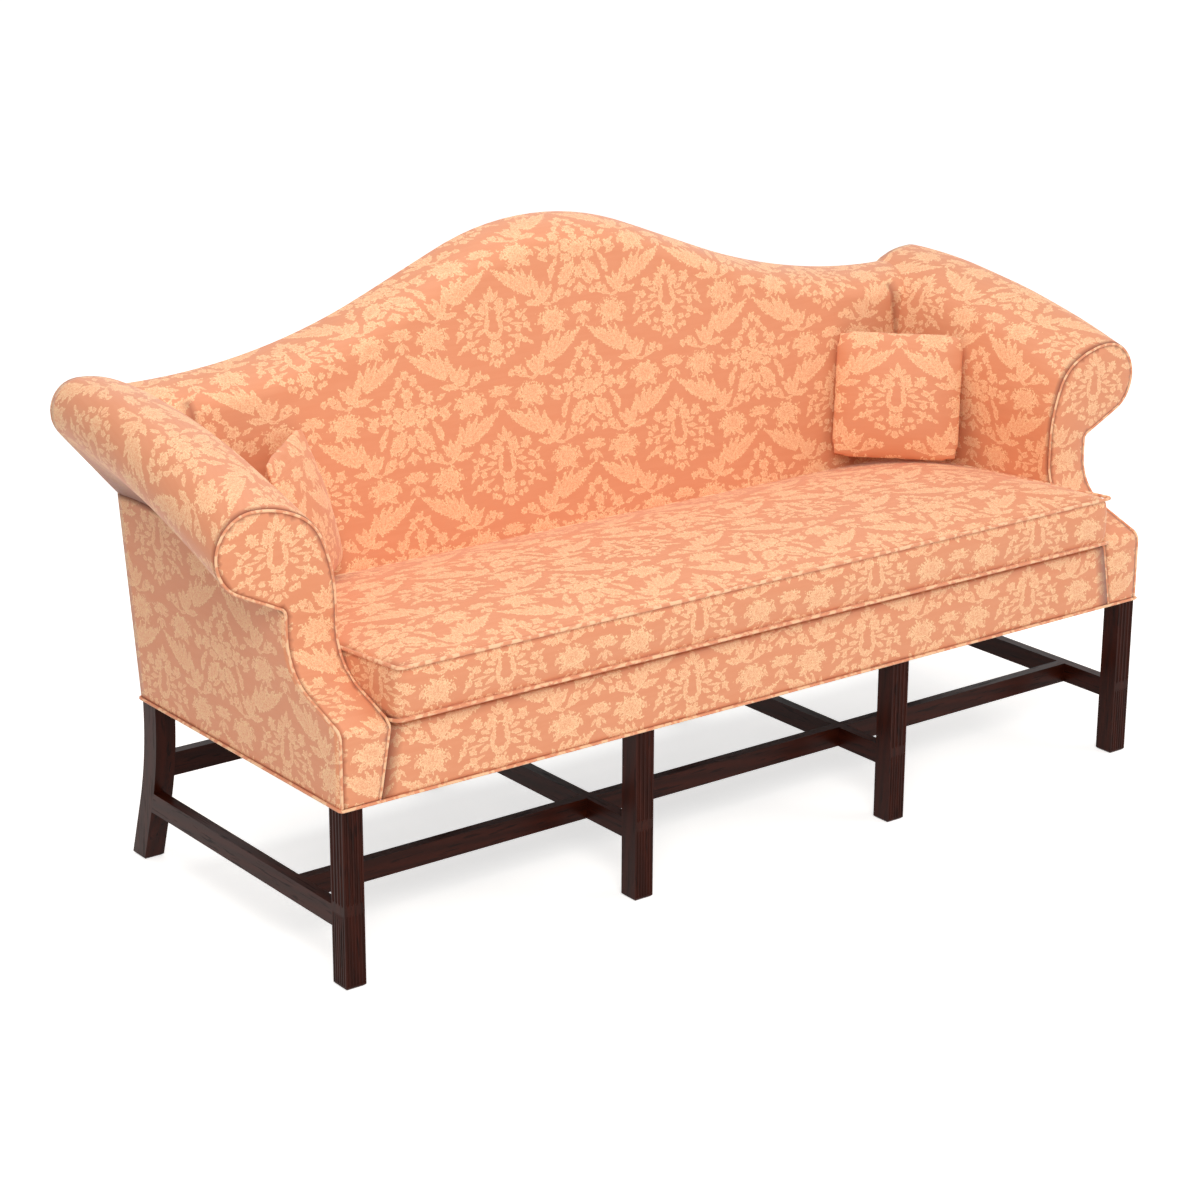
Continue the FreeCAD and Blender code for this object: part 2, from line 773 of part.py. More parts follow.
def pillow_body(inset):
    """Pillow on its lower edge: two swelling profiles across each other, edges drawn in."""
    half = pillow_width / 2 - inset
    low, high = inset, pillow_height - inset
    edge = pillow_edge / 2 - inset
    thick = pillow_thick / 2 - inset
    upright = poly("yz", -half, half, swelling(low, high, edge, thick))
    lying = poly("xy", low, high, [(x, y) for y, x in swelling(-half, half, edge, thick)])
    middle = pillow_height / 2
    draw = pillow_draw
    frame = [(-half, low), (0, low + draw), (half, low), (half - draw, middle),
             (half, high), (0, high - draw), (-half, high), (-half + draw, middle)]
    return upright.common(lying).common(poly("xz", -thick - 5, thick + 5, frame))


def placed_pillow(shape, foot, turn, lean):
    shape = shape.copy()
    shape.rotate(Vector(0, 0, 0), Vector(1, 0, 0), -lean)
    shape.rotate(Vector(0, 0, 0), Vector(0, 0, 1), turn)
    shape.translate(Vector(*foot))
    return shape


# Back
def back_section(x, inset):
    """Section of the upholstered back at a distance from the middle."""
    top = crest(x) - inset
    low = rail_bottom
    turn = top - crest_round
    front = inside_face(turn) + inset
    ridge = (back_face(top) - crest_rear_round, top)
    rear = back_face(top - crest_rear_round) - cover_thick
    steps = []
    for angle in (0, 22.5, 45, 67.5, 90):
        turned = math.radians(angle)
        steps.append(((ridge[0] + (front - ridge[0]) * math.cos(turned),
                       turn + crest_round * math.sin(turned)),))
    for angle in (60, 30, 0):
        turned = math.radians(angle)
        steps.append(((ridge[0] + (rear - ridge[0]) * math.cos(turned),
                       top - crest_rear_round * (1 - math.sin(turned))),))
    steps.append(((back_face(low) - cover_thick, low),))
    return (inside_face(low) + inset, low), steps


back_stations = [835, crest_reach, 682, 575, 467, hollow_start, hump_end, 134, 67]


def back_loft(inset):
    marks = [-x for x in back_stations] + [0] + back_stations[::-1]
    wires = []
    for x in marks:
        start, steps = back_section(x, inset)
        wires.append(outline("yz", x, start, steps))
    return Part.makeLoft(wires, True, True)


def raked_slab(front_gap, rear_gap, x, z):
    """Board in the plane of the back, between two distances from its outer face."""
    points = [(back_face(z[0]) - front_gap, z[0]), (back_face(z[1]) - front_gap, z[1]),
              (back_face(z[1]) - rear_gap, z[1]), (back_face(z[0]) - rear_gap, z[0])]
    return poly("yz", x[0], x[1], points)


# Build
print("crest ends at", round(crest_end, 1))
legs = {}
for name, side in (("left", -1), ("right", 1)):
    legs["rear_leg_" + name] = rear_leg(side * corner_x)
    legs["rear_middle_leg_" + name] = rear_leg(side * middle_x)
    legs["front_leg_" + name] = front_leg(side * corner_x)
    legs["front_middle_leg_" + name] = front_leg(side * middle_x)

parts = {}
mortises = {name: [] for name in legs}
side_x = half_span - stretcher_thick / 2
medial_y = (medial_setback, medial_setback + stretcher_thick)
for name, side in (("left", -1), ("right", 1)):
    rear = legs["rear_leg_" + name]
    body, front_cut, rear_cut = deep_stretcher(side * side_x, rear)
    parts["side_stretcher_" + name] = body
    mortises["front_leg_" + name].append(front_cut)
    mortises["rear_leg_" + name].append(rear_cut)
    rear = legs["rear_middle_leg_" + name]
    body, front_cut, rear_cut = deep_stretcher(side * middle_x, rear)
    parts["cross_stretcher_" + name] = body
    mortises["front_middle_leg_" + name].append(front_cut)
    mortises["rear_middle_leg_" + name].append(rear_cut)

half_thick = stretcher_thick / 2
inner_face = half_span - stretcher_thick
spans = [(-inner_face, -middle_x - half_thick),
         (-middle_x + half_thick, middle_x - half_thick),
         (middle_x + half_thick, inner_face)]
medials, rears = [], []
for low, high in spans:
    body, left_cut, right_cut = cross_length(low, high, medial_y, stretcher_z, tenon_z,
                                             medial_tenon_length)
    medials.append(body)
    for target in ("side_stretcher_left", "cross_stretcher_left",
                   "cross_stretcher_right", "side_stretcher_right"):
        parts[target] = parts[target].cut([left_cut, right_cut])

mid_height = (rear_z[0] + rear_z[1]) / 2
slope = math.radians(foot_rake)
sweep_radius = (rake_start - rake_end) / math.sin(slope)
sweep = sweep_radius - math.sqrt(sweep_radius ** 2 - (rake_start - mid_height) ** 2)
rear_y = rear_front_y + sweep + (rear_leg_depth - stretcher_thick) / 2
rear_spans = [(-leg_inner_x, -middle_x - leg_side / 2),
              (-middle_x + leg_side / 2, middle_x - leg_side / 2),
              (middle_x + leg_side / 2, leg_inner_x)]
for low, high in rear_spans:
    body, left_cut, right_cut = cross_length(low, high, (rear_y, rear_y + stretcher_thick),
                                             rear_z, rear_tenon_z, tenon_length)
    rears.append(body)
    for target in ("rear_leg_left", "rear_middle_leg_left",
                   "rear_middle_leg_right", "rear_leg_right"):
        mortises[target] += [left_cut, right_cut]

parts["medial_stretchers"] = Part.makeCompound(medials)
parts["rear_stretchers"] = Part.makeCompound(rears)
plain_legs = dict(legs)
for name, cuts in mortises.items():
    legs[name] = legs[name].cut(cuts)
parts.update(legs)

# Seat rails
rail_low = rail_bottom + rail_lift
front_rail = block((-leg_inner_x, leg_inner_x), (rail_y, rail_y + rail_thick),
                   (rail_low, deck_front))
rear_rail_y = (frame_depth - show_inset - rail_thick, frame_depth - show_inset)
rear_rail = block((-leg_inner_x, leg_inner_x), rear_rail_y, (rail_low, deck_front))
middle_legs = [shape for name, shape in legs.items() if "middle" in name]
front_rail = front_rail.cut([above_rails] + middle_legs)
rear_rail = rear_rail.cut([above_rails] + middle_legs)
side_rails = {}
for name, side in (("left", -1), ("right", 1)):
    x = sorted((side * stump_x, side * (stump_x - rail_thick)))
    rail = block(x, (leg_side, rear_rail_y[0]), (rail_low, deck_front))
    side_rails[name] = rail.cut([above_rails, plain_legs["rear_leg_" + name]])

braces = []
for side in (-1, 1):
    x = (side * middle_x - brace_width / 2, side * middle_x + brace_width / 2)
    z = rail_bottom + 6
    front, rear = (leg_side, z + brace_height), (rear_front_y, z + brace_height)
    dip = ((leg_side + rear_front_y) / 2, z + brace_height - brace_dip)
    braces.append(prism("yz", x[0], x[1], (leg_side, z),
                        [((rear_front_y, z),), (rear,), (dip, front)]))
parts["seat_braces"] = Part.makeCompound(braces)


def corner_block(front):
    """Block glued into the right corner between two rails."""
    side_face = stump_x - rail_thick
    if front:
        face, leg_face, way = rail_y + rail_thick, leg_side, 1
    else:
        face, leg_face, way = rear_rail_y[0], rear_front_y, -1
    far_y = face + way * (block_leg + 4)
    points = [(leg_inner_x - block_leg, face), (leg_inner_x, face), (leg_inner_x, leg_face),
              (side_face, leg_face), (side_face, far_y), (side_face - block_edge, far_y),
              (leg_inner_x - block_leg, face + way * block_edge)]
    z = rail_low + 6
    return poly("xy", z, z + block_height, points)


blocks = [corner_block(True), corner_block(False)]
blocks += [mirrored(shape) for shape in blocks]
parts["corner_blocks"] = Part.makeCompound(blocks)
parts["front_seat_rail"] = front_rail
parts["rear_seat_rail"] = rear_rail
for name in ("left", "right"):
    parts["side_seat_rail_" + name] = side_rails[name]

# Springs and deck
spring_y = (rail_y + 8, frame_depth - show_inset - 8)
wave_count = int((spring_y[1] - spring_y[0]) / spring_pitch)
wave = (spring_y[1] - spring_y[0]) / wave_count
half_wire = spring_wire / 2


def spring_side(offset):
    """One edge of the bent wire, from bend to bend."""
    points = []
    for index in range(wave_count):
        y = spring_y[0] + index * wave
        way = 1 if index % 2 == 0 else -1
        reach = way * (spring_width / 2 - half_wire) + offset
        points += [(reach, y + wave * 0.25), (reach, y + wave * 0.75)]
    return points


right_side = spring_side(half_wire)
left_side = spring_side(-half_wire)
spring_shape = poly("xy", 0, deck_front, right_side + left_side[::-1])
spring_shape = spring_shape.common(layer(0, spring_wire, (-60, 60), spring_y))
springs, clips = [], []
for index in range(spring_count):
    x = (index - (spring_count - 1) / 2) * spring_spacing
    spring = spring_shape.copy()
    spring.translate(Vector(x, 0, 0))
    springs.append(spring)
parts["seat_springs"] = solids_of(Part.makeCompound(springs))
for index in range(spring_count):
    x = (index - (spring_count - 1) / 2) * spring_spacing
    for low in (rail_y + 2, frame_depth - show_inset - 20):
        box = layer(0, spring_wire + clip_wall, (x - clip_width / 2, x + clip_width / 2),
                    (low, low + 18))
        clips.append(box.cut(parts["seat_springs"]))
parts["spring_clips"] = solids_of(Part.makeCompound(clips))

step = spring_wire
side_reach = stump_x - 2
deck_rear = inside_face(deck_front) + 30
burlap_y = (rail_y + 2, frame_depth - show_inset - 2)
burlap = layer(step, step + burlap_thick, (-side_reach, side_reach), burlap_y)
burlap = burlap.cut([plain_legs["rear_leg_left"], plain_legs["rear_leg_right"],
                     parts["spring_clips"]])
step += burlap_thick
roll_rear = rail_y + 30
deck_half = arm_inner - 0.3
parts["seat_pad"] = layer(step, step + pad_thick, (-deck_half, deck_half), (roll_rear, deck_rear))
seam_x = arm_outer - facing_width
parts["edge_roll"] = layer(step, step + pad_thick, (-deck_half, deck_half),
                           (rail_y, roll_rear))
step += pad_thick
parts["seat_decking"] = layer(step, step + deck_cloth, (-deck_half, deck_half),
                              (rail_y, deck_rear))

below_deck = poly("yz", -1000, 1000,
                  [(-60, rail_top(-60) + spring_wire + burlap_thick),
                   (760, rail_top(760) + spring_wire + burlap_thick),
                   (760, 200), (-60, 200)])
dust_z = (rail_low - 0.2 - dust_cloth, rail_low - 0.2)
dust = block((-stump_x, stump_x), (rail_y, frame_depth - show_inset), dust_z)
parts["dust_cover"] = dust.cut(list(plain_legs.values()))

# Front rail band, its ends on the slanting seams of the facings
band_top = rail_top(rail_y) + stack
band_half = seam_x - (seam_x - arm_inner) * (band_top - rail_bottom) / (
    facing_seam_top - rail_bottom)
band = poly("xz", -cover_proud, rail_y,
            [(-seam_x, rail_bottom), (seam_x, rail_bottom),
             (band_half, band_top), (-band_half, band_top)])
crown_edge = [edge for edge in band.Edges
              if edge.BoundBox.ZMin > band_top - 1 and edge.BoundBox.YMax < 0]
parts["front_rail_cover"] = band.makeFillet(4.0, crown_edge)


# Frame of the back
frame_gap = cover_thick + frame_board
rail_reach = stump_x
end_low = crest(rail_reach) - crest_pad - crest_rail_height
end_high = crest(rail_reach) - crest_pad
crest_board = prism("xz", 400, 900, (-rail_reach, end_low), (
    [((-crest_reach, end_low),)] + crest_line(crest_pad + crest_rail_height, crest_reach, False)
    + [((rail_reach, end_low),), ((rail_reach, end_high),), ((crest_reach, end_high),)]
    + crest_line(crest_pad, crest_reach, True) + [((-rail_reach, end_high),)]))
crest_rail = crest_board.common(
    raked_slab(frame_gap, cover_thick, (-rail_reach, rail_reach), (post_top - 1, crest_peak)))
parts["crest_rail"] = crest_rail
parts["lower_back_rail"] = raked_slab(frame_gap, cover_thick, (-leg_inner_x, leg_inner_x),
                                      (tack_rail_low, tack_rail_high))
under_crest = prism("xz", 400, 900, (-crest_reach, rail_bottom), (
    [((crest_reach, rail_bottom),), ((crest_reach, end_low),)]
    + crest_line(crest_pad + crest_rail_height, crest_reach, True)))
uprights = []
for side in (-1, 1):
    x = (side * middle_x - upright_width / 2, side * middle_x + upright_width / 2)
    upright = raked_slab(frame_gap, cover_thick, x, (tack_rail_high, crest_peak))
    uprights.append(upright.common(under_crest))
parts["back_uprights"] = solids_of(Part.makeCompound(uprights))
strips = []
for index in range(webbing_count):
    x = (index - (webbing_count - 1) / 2) * webbing_spacing
    far = abs(x) + webbing_width / 2
    top = crest(far) - crest_pad - crest_rail_height + 30
    strips.append(raked_slab(frame_gap + webbing_thick, frame_gap,
                             (x - webbing_width / 2, x + webbing_width / 2),
                             (tack_rail_low + 8, top)))
parts["back_webbing"] = Part.makeCompound(strips)

# Arms
right_welt = facing_welt()
right = right_arm_parts(plain_legs["rear_leg_right"], crest_rail, parts["lower_back_rail"],
                        right_welt)
right["welt"] = right_welt
arm_names = {"post": "arm_post", "rail": "arm_rail", "padding": "arm_padding",
             "inside_cover": "inside_arm_cover", "outside_cover": "outside_arm_cover",
             "facing": "arm_facing", "welt": "facing_welt"}
for key, name in arm_names.items():
    parts[name + "_right"] = right[key]
    parts[name + "_left"] = mirrored(right[key])
parts["arm_slats"] = Part.makeCompound([right["slat"], mirrored(right["slat"])])
parts["seat_burlap"] = burlap.cut([parts["arm_post_left"], parts["arm_post_right"]])

# Upholstery of the back, fitted between the arms
whole_arm = roll_loft(arm_section(-0.3, rail_bottom - 10))
arms = [whole_arm, mirrored(whole_arm)]
frame_room = prism("xz", 400, 900, (-850, rail_bottom - 20), (
    [((850, rail_bottom - 20),), ((850, end_high),), ((crest_reach, end_high),)]
    + crest_line(crest_pad, crest_reach, True) + [((-850, end_high),)]))
hollow = frame_room.common(
    raked_slab(frame_gap + webbing_thick, -5, (-850, 850), (rail_bottom - 20, crest_peak)))
whole_back = back_loft(0.0)
inner_back = back_loft(skin)
deck = [below_deck, parts["seat_pad"], parts["seat_decking"]]
parts["back_padding"] = inner_back.cut([hollow] + deck + arms)
parts["inside_back_cover"] = whole_back.cut(
    [inner_back, behind_back(cover_thick)] + deck + arms)

# Outside back: one panel over the crest and the ends of both rolls
panel = raked_slab(cover_thick, 0, (-1000, 1000), (rail_bottom, crest_peak))
crest_cut = prism("xz", 400, 900, (-crest_reach, rail_bottom), (
    [((crest_reach, rail_bottom),), ((crest_reach, crest(crest_reach) - crest_rear_round),)]
    + crest_line(crest_rear_round, crest_reach, True)))
roll_end = Part.Face(arm_section(0.0, rail_bottom)(roll_stations[-1]))
roll_cut = roll_end.extrude(Vector(0, -300, 0))
parts["outside_back_cover"] = panel.common(crest_cut.fuse([roll_cut, mirrored(roll_cut)]))

# Welt round the bottom edge
cord_z = rail_bottom + welt_cord
cord_x = arm_outer + welt_cord
cord_front = -cover_proud - welt_cord
cord_rear = back_face(rail_bottom + 2 * welt_cord) + welt_cord + 0.3
bend = 3.0
half = [(0, cord_front), (cord_x - bend, cord_front),
        (cord_x - bend * 0.293, cord_front + bend * 0.293), (cord_x, cord_front + bend),
        (cord_x, cord_rear - bend), (cord_x - bend * 0.293, cord_rear - bend * 0.293),
        (cord_x - bend, cord_rear), (0, cord_rear)]
halves = []
for side in (1, -1):
    ring = [(side * x, y, cord_z) for x, y in half]
    halves.append([ring[0]] + [(point,) for point in ring[1:]])
parts["base_welt"] = closed_cord(halves, welt_cord)

# Cushion and pillows
cords = [cushion_cord(welt_radius), cushion_cord(cushion_boxing - welt_radius)]
parts["cushion_welts"] = Part.makeCompound(cords)
parts["cushion_cover"] = cushion_body(0.0).cut([cushion_body(cushion_shell)] + cords)
parts["cushion_core"] = cushion_body(cushion_skin + welt_radius)
for name, foot, turn, lean in (
        ("left", left_pillow_foot, left_pillow_turn, left_pillow_lean),
        ("right", right_pillow_foot, right_pillow_turn, right_pillow_lean)):
    outer, inner = pillow_body(0.0), pillow_body(pillow_cloth)
    parts["pillow_cover_" + name] = placed_pillow(outer.cut(inner), foot, turn, lean)
    parts["pillow_filling_" + name] = placed_pillow(inner, foot, turn, lean)

os.makedirs("parts", exist_ok=True)
depth_middle = (back_face(crest_peak - crest_rear_round) - cushion_nose - cushion_bulge) / 2
for name in sorted(parts):
    shape = parts[name]
    shape.translate(Vector(0, -depth_middle, 0))
    shape.exportStep("parts/" + name + ".step")
    print(name, len(shape.Solids), "solids", "valid" if shape.isValid() else "NOT VALID",
          round(shape.Volume / 1e6, 3), "litres")
print(len(parts), "nodes")
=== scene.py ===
# %% [markdown]
# # A camelback sofa in coral damask
# The sofa stands on square mahogany legs, fluted above and reeded below. Its back rises in
# one hump, its arms roll outward, and everything above the rails is covered in damask.
# The frame of the sofa is a finished model in real size. Each step below adds one covering,
# cord, cushion or finish to it. Lengths are in millimetres until a mesh is made.

# %% The frame, before anything is added
import bpy
import math
import mathutils
import numpy as np
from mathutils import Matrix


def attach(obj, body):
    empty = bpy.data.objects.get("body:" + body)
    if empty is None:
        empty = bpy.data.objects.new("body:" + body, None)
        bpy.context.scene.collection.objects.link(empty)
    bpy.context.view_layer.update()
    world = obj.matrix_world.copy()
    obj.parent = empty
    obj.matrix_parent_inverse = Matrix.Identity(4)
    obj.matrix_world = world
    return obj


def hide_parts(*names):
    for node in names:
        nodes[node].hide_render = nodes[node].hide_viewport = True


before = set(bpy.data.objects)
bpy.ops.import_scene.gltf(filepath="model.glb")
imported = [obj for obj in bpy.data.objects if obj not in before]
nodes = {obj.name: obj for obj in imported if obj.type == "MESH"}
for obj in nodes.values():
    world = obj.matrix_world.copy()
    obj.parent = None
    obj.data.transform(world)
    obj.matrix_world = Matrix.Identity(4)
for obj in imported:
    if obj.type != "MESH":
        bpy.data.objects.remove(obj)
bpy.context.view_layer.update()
print("nodes in the frame:", len(nodes))

# %% [markdown]
# ## Sizes and curves shared by the coverings
# The coverings are cut to the same curves as the frame: the camelback is an arc, two slopes
# and two hollows, the arm is a chain of arcs, and the front of the arm sweeps back in a cove.
# Writing them as functions keeps neighbouring pieces on one line.

# %% Sizes
DEPTH_MIDDLE = 339.54
RAIL_BOTTOM = 290.0
ARM_INNER = 751.0
ARM_OUTER = 842.0
FACING_SET = 141.0
FACING_FOOT = 771.0
FACING_SEAM_TOP = 405.0
WELT = 2.5
DECK_FRONT = 405.0
CREST_PEAK = 979.0
CREST_REACH = 790.0
HUMP_RADIUS = 560.0
HOLLOW_RADIUS = 1200.0


def to_metres(point):
    return (point[0] / 1000, (point[1] - DEPTH_MIDDLE) / 1000, point[2] / 1000)


def deck_top(y):
    return DECK_FRONT - 0.07 * y


def back_face(z):
    return 602.0 + 0.145 * (z - RAIL_BOTTOM)


def inside_face(z):
    return 512.0 + 0.166 * (z - 479.0)


# %% The camelback line
CREST_SLOPE = math.radians(21.0)
HUMP_END = HUMP_RADIUS * math.sin(CREST_SLOPE)
HUMP_DROP = HUMP_RADIUS * (1 - math.cos(CREST_SLOPE))
HOLLOW_START = CREST_REACH - HOLLOW_RADIUS * math.sin(CREST_SLOPE)
HOLLOW_DROP = HOLLOW_RADIUS * (1 - math.cos(CREST_SLOPE))
SLOPE_DROP = (HOLLOW_START - HUMP_END) * math.tan(CREST_SLOPE)
CREST_END = CREST_PEAK - HUMP_DROP - SLOPE_DROP - HOLLOW_DROP


def crest(x):
    """Height of the back: an arc, a straight slope, then a hollow down to the arm."""
    x = min(abs(x), CREST_REACH)
    if x < HUMP_END:
        return CREST_PEAK - HUMP_RADIUS + math.sqrt(HUMP_RADIUS ** 2 - x * x)
    if x < HOLLOW_START:
        return CREST_PEAK - HUMP_DROP - (x - HUMP_END) * math.tan(CREST_SLOPE)
    return CREST_END + HOLLOW_RADIUS - math.sqrt(HOLLOW_RADIUS ** 2 - (CREST_REACH - x) ** 2)


print("crest:", round(crest(0)), "in the middle,", round(crest(800)), "at the ends")

# %% The rolled arm, as a chain of arcs seen from the front
FRONT_ARCS = ((262.0, 23.0), (87.0, 37.0), (162.0, 30.0), (67.0, 154.0))
REAR_ARCS = ((250.0, 23.0), (80.0, 37.0), (170.0, 30.0), (52.0, 129.0))
ARC_STEPS = (6, 7, 6, 26)


def roll_share(y):
    return max(0.0, min(1.0, (y - FACING_SET) / (650.0 - FACING_SET)))


def roll_section(y, inset=0.0):
    """Points from the inner face over the roll to the neck, as (x, z)."""
    share = roll_share(y)
    ridge = 820.0 - 93.0 * (1 - share) ** 1.7
    arcs = [(a[0] + (b[0] - a[0]) * share, a[1] + (b[1] - a[1]) * share)
            for a, b in zip(FRONT_ARCS, REAR_ARCS)]
    heading, climb = math.pi / 2, 0.0
    for radius, turn in arcs[:3]:
        after = heading - math.radians(turn)
        climb += radius * (math.cos(after) - math.cos(heading))
        heading = after
    heading = math.pi / 2
    here = (ARM_INNER + inset, ridge - climb)
    points = [here]
    for (radius, turn), steps in zip(arcs, ARC_STEPS):
        reach = radius - inset
        centre = (here[0] + reach * math.sin(heading), here[1] - reach * math.cos(heading))
        for step in range(1, steps + 1):
            way = heading - math.radians(turn) * step / steps
            points.append((centre[0] - reach * math.sin(way), centre[1] + reach * math.cos(way)))
        here, heading = points[-1], heading - math.radians(turn)
    side = ARM_OUTER - inset
    points.append((side, here[1] + (side - here[0]) * math.tan(heading)))
    return points


# %% The sweep of the arm's front, seen from the side
def sweep_points(depth):
    """Upright, shoulder, slope, cove and upright, as (y, z), moved into the arm by a depth."""
    front, slope = depth - 2.0, math.radians(20.0)
    centre, radius = (FACING_SET - 87.0, 525.0), 87.0 + depth
    cove_foot = (centre[0] + radius * math.sin(slope), centre[1] - radius * math.cos(slope))
    shoulder = max(10.0 - depth, 1.0)
    corner = (front, cove_foot[1] - (cove_foot[0] - front) * math.tan(slope))
    setback = shoulder * math.tan((math.pi / 2 - slope) / 2)
    points = [(front, RAIL_BOTTOM)]
    for step in range(7):
        angle = math.pi - (math.pi / 2 - slope) * step / 6
        points.append((front + shoulder + shoulder * math.cos(angle),
                       corner[1] - setback + shoulder * math.sin(angle)))
    for step in range(15):
        angle = -math.pi / 2 + slope + (math.pi / 2 - slope) * step / 14
        points.append((centre[0] + radius * math.cos(angle), centre[1] + radius * math.sin(angle)))
    return points + [(centre[0] + radius, 860.0)]


SWEEP = sweep_points(0.0)


def sweep_y(z):
    heights = [point[1] for point in SWEEP]
    return float(np.interp(z, heights, [point[0] for point in SWEEP]))


def sweep_length(z):
    """Length of cloth along the sweep from the rail's lower edge to a height."""
    total = 0.0
    for (y0, z0), (y1, z1) in zip(SWEEP, SWEEP[1:]):
        if z <= z0:
            break
        part = min(1.0, (z - z0) / max(z1 - z0, 1e-6))
        total += math.dist((y0, z0), (y1, z1)) * part
    return total


print("sweep of the facing:", round(sweep_length(700.0)), "mm of cloth up to 700 mm")

# %% [markdown]
# ## Building blocks for nodes
# A material in Blender is a graph. Small functions add one node each and hand back its
# output, so that longer graphs read like sums. Each takes numbers or other outputs.


# %% Node helpers
def feed(tree, socket, value):
    if isinstance(value, bpy.types.NodeSocket):
        tree.links.new(value, socket)
    elif value is not None:
        socket.default_value = value


def number(tree, operation, a, b=None, c=None, clamp=False):
    node = tree.nodes.new("ShaderNodeMath")
    node.operation, node.use_clamp = operation, clamp
    for socket, value in zip(node.inputs, (a, b, c)):
        feed(tree, socket, value)
    return node.outputs[0]


def vector(tree, operation, a, b=None):
    node = tree.nodes.new("ShaderNodeVectorMath")
    node.operation = operation
    feed(tree, node.inputs[0], a)
    feed(tree, node.inputs[1], b)
    return node.outputs["Value" if operation in ("DOT_PRODUCT", "LENGTH") else "Vector"]


def ramp_between(tree, value, low, high):
    node = tree.nodes.new("ShaderNodeMapRange")
    node.interpolation_type = "SMOOTHSTEP"
    feed(tree, node.inputs["Value"], value)
    feed(tree, node.inputs["From Min"], low)
    feed(tree, node.inputs["From Max"], high)
    return node.outputs["Result"]


def blend_colours(tree, factor, a, b):
    node = tree.nodes.new("ShaderNodeMix")
    node.data_type = "RGBA"
    feed(tree, node.inputs["Factor"], factor)
    feed(tree, node.inputs["A"], a)
    feed(tree, node.inputs["B"], b)
    return node.outputs["Result"]


def group_with(name, inputs, outputs):
    """An empty shader group with named sockets, and its two end nodes."""
    tree = bpy.data.node_groups.new(name, "ShaderNodeTree")
    for label, kind in inputs:
        tree.interface.new_socket(label, in_out="INPUT", socket_type=kind)
    for label, kind in outputs:
        tree.interface.new_socket(label, in_out="OUTPUT", socket_type=kind)
    return tree, tree.nodes.new("NodeGroupInput"), tree.nodes.new("NodeGroupOutput")


def placed_group(tree, group, **values):
    node = tree.nodes.new("ShaderNodeGroup")
    node.node_tree = group
    for label, value in values.items():
        feed(tree, node.inputs[label], value)
    return node


def noise_at(tree, place, scale, detail=2.0):
    node = tree.nodes.new("ShaderNodeTexNoise")
    feed(tree, node.inputs["Vector"], place)
    feed(tree, node.inputs["Scale"], scale)
    node.inputs["Detail"].default_value = detail
    return node.outputs[0]


def raise_surface(tree, shader, height, strength, distance):
    """A bump on the shader, from a height."""
    bump = tree.nodes.new("ShaderNodeBump")
    bump.inputs["Strength"].default_value = strength
    bump.inputs["Distance"].default_value = distance
    feed(tree, bump.inputs["Height"], height)
    feed(tree, shader.inputs["Normal"], bump.outputs[0])


def object_place(tree):
    return tree.nodes.new("ShaderNodeTexCoord").outputs["Object"]


# %% [markdown]
# ## The damask figure
# Damask is woven in one repeat that is mirrored left and right and dropped by half a repeat
# in the next column. Here a round bouquet and a leafy bouquet take turns, and between them
# stand plumes, lilies, peonies and small sprays. The cloth's own coordinates are folded into
# one half repeat, and each leaf or flower is a few sums there: a leaf is an almond between two
# points, a flower is a circle with lobes. The smallest result of all tells how near the
# thread is to the middle of a leaf.

# %% The shapes of one half repeat, in millimetres
HALF_WIDE = 187.0
HALF_DROP = 119.0
# A leaf runs from one point to another and has a width: x0, z0, x1, z1, width
TRELLIS_LEAVES = (
    (80, -74, 6, -21, 17), (80, -74, 30, -25, 13), (80, -72, 51, -23, 12), (80, -72, 68, -25, 11),
    (80, -72, 88, -33, 12), (78, -62, 92, -42, 7), (103, -90, 89, -44, 15),
    (103, -90, 113, -54, 14), (104, -90, 129, -60, 13), (106, -90, 68, -84, 11),
    (104, -90, 124, -95, 6),
    (118, -93, 152, -84, 5), (128, -92, 136, -72, 6), (60, -12, 38, -24, 9), (66, -12, 88, -23, 9),
    (0, 0, 0, -21, 11), (4, 6, 24, 8, 8), (4, -2, 15, -16, 5), (38, 6, 30, -8, 7),
    (88, 6, 96, -8, 7))
ROUND_LEAVES = (
    (0, 110, 0, 137, 12), (3, 110, 15, 127, 8), (5, 107, 24, 115, 8), (10, 92, 17, 58, 10),
    (17, 66, 4, 47, 9), (18, 84, 38, 91, 7), (20, 77, 42, 76, 8), (18, 66, 38, 57, 8),
    (30, 70, 62, 67, 4), (66, 37, 79, 30, 6), (28, 51, 52, 44, 5), (30, 96, 44, 104, 7),
    (0, 14, 0, -2, 14), (6, 16, 17, 4, 6), (60, 84, 72, 90, 5), (70, 58, 78, 50, 5))
LEAFY_LEAVES = (
    (18, 126, 34, 120, 8), (6, 140, 22, 146, 7), (56, 98, 76, 107, 8), (8, 92, 32, 93, 8),
    (62, 62, 84, 71, 6), (44, 66, 53, 50, 8), (8, 56, 44, 18, 24), (54, 58, 61, 28, 13),
    (6, 28, 28, 13, 9), (0, 20, 0, -3, 13), (4, 14, 15, 4, 5), (24, 108, 34, 118, 7),
    (74, 84, 86, 90, 6))
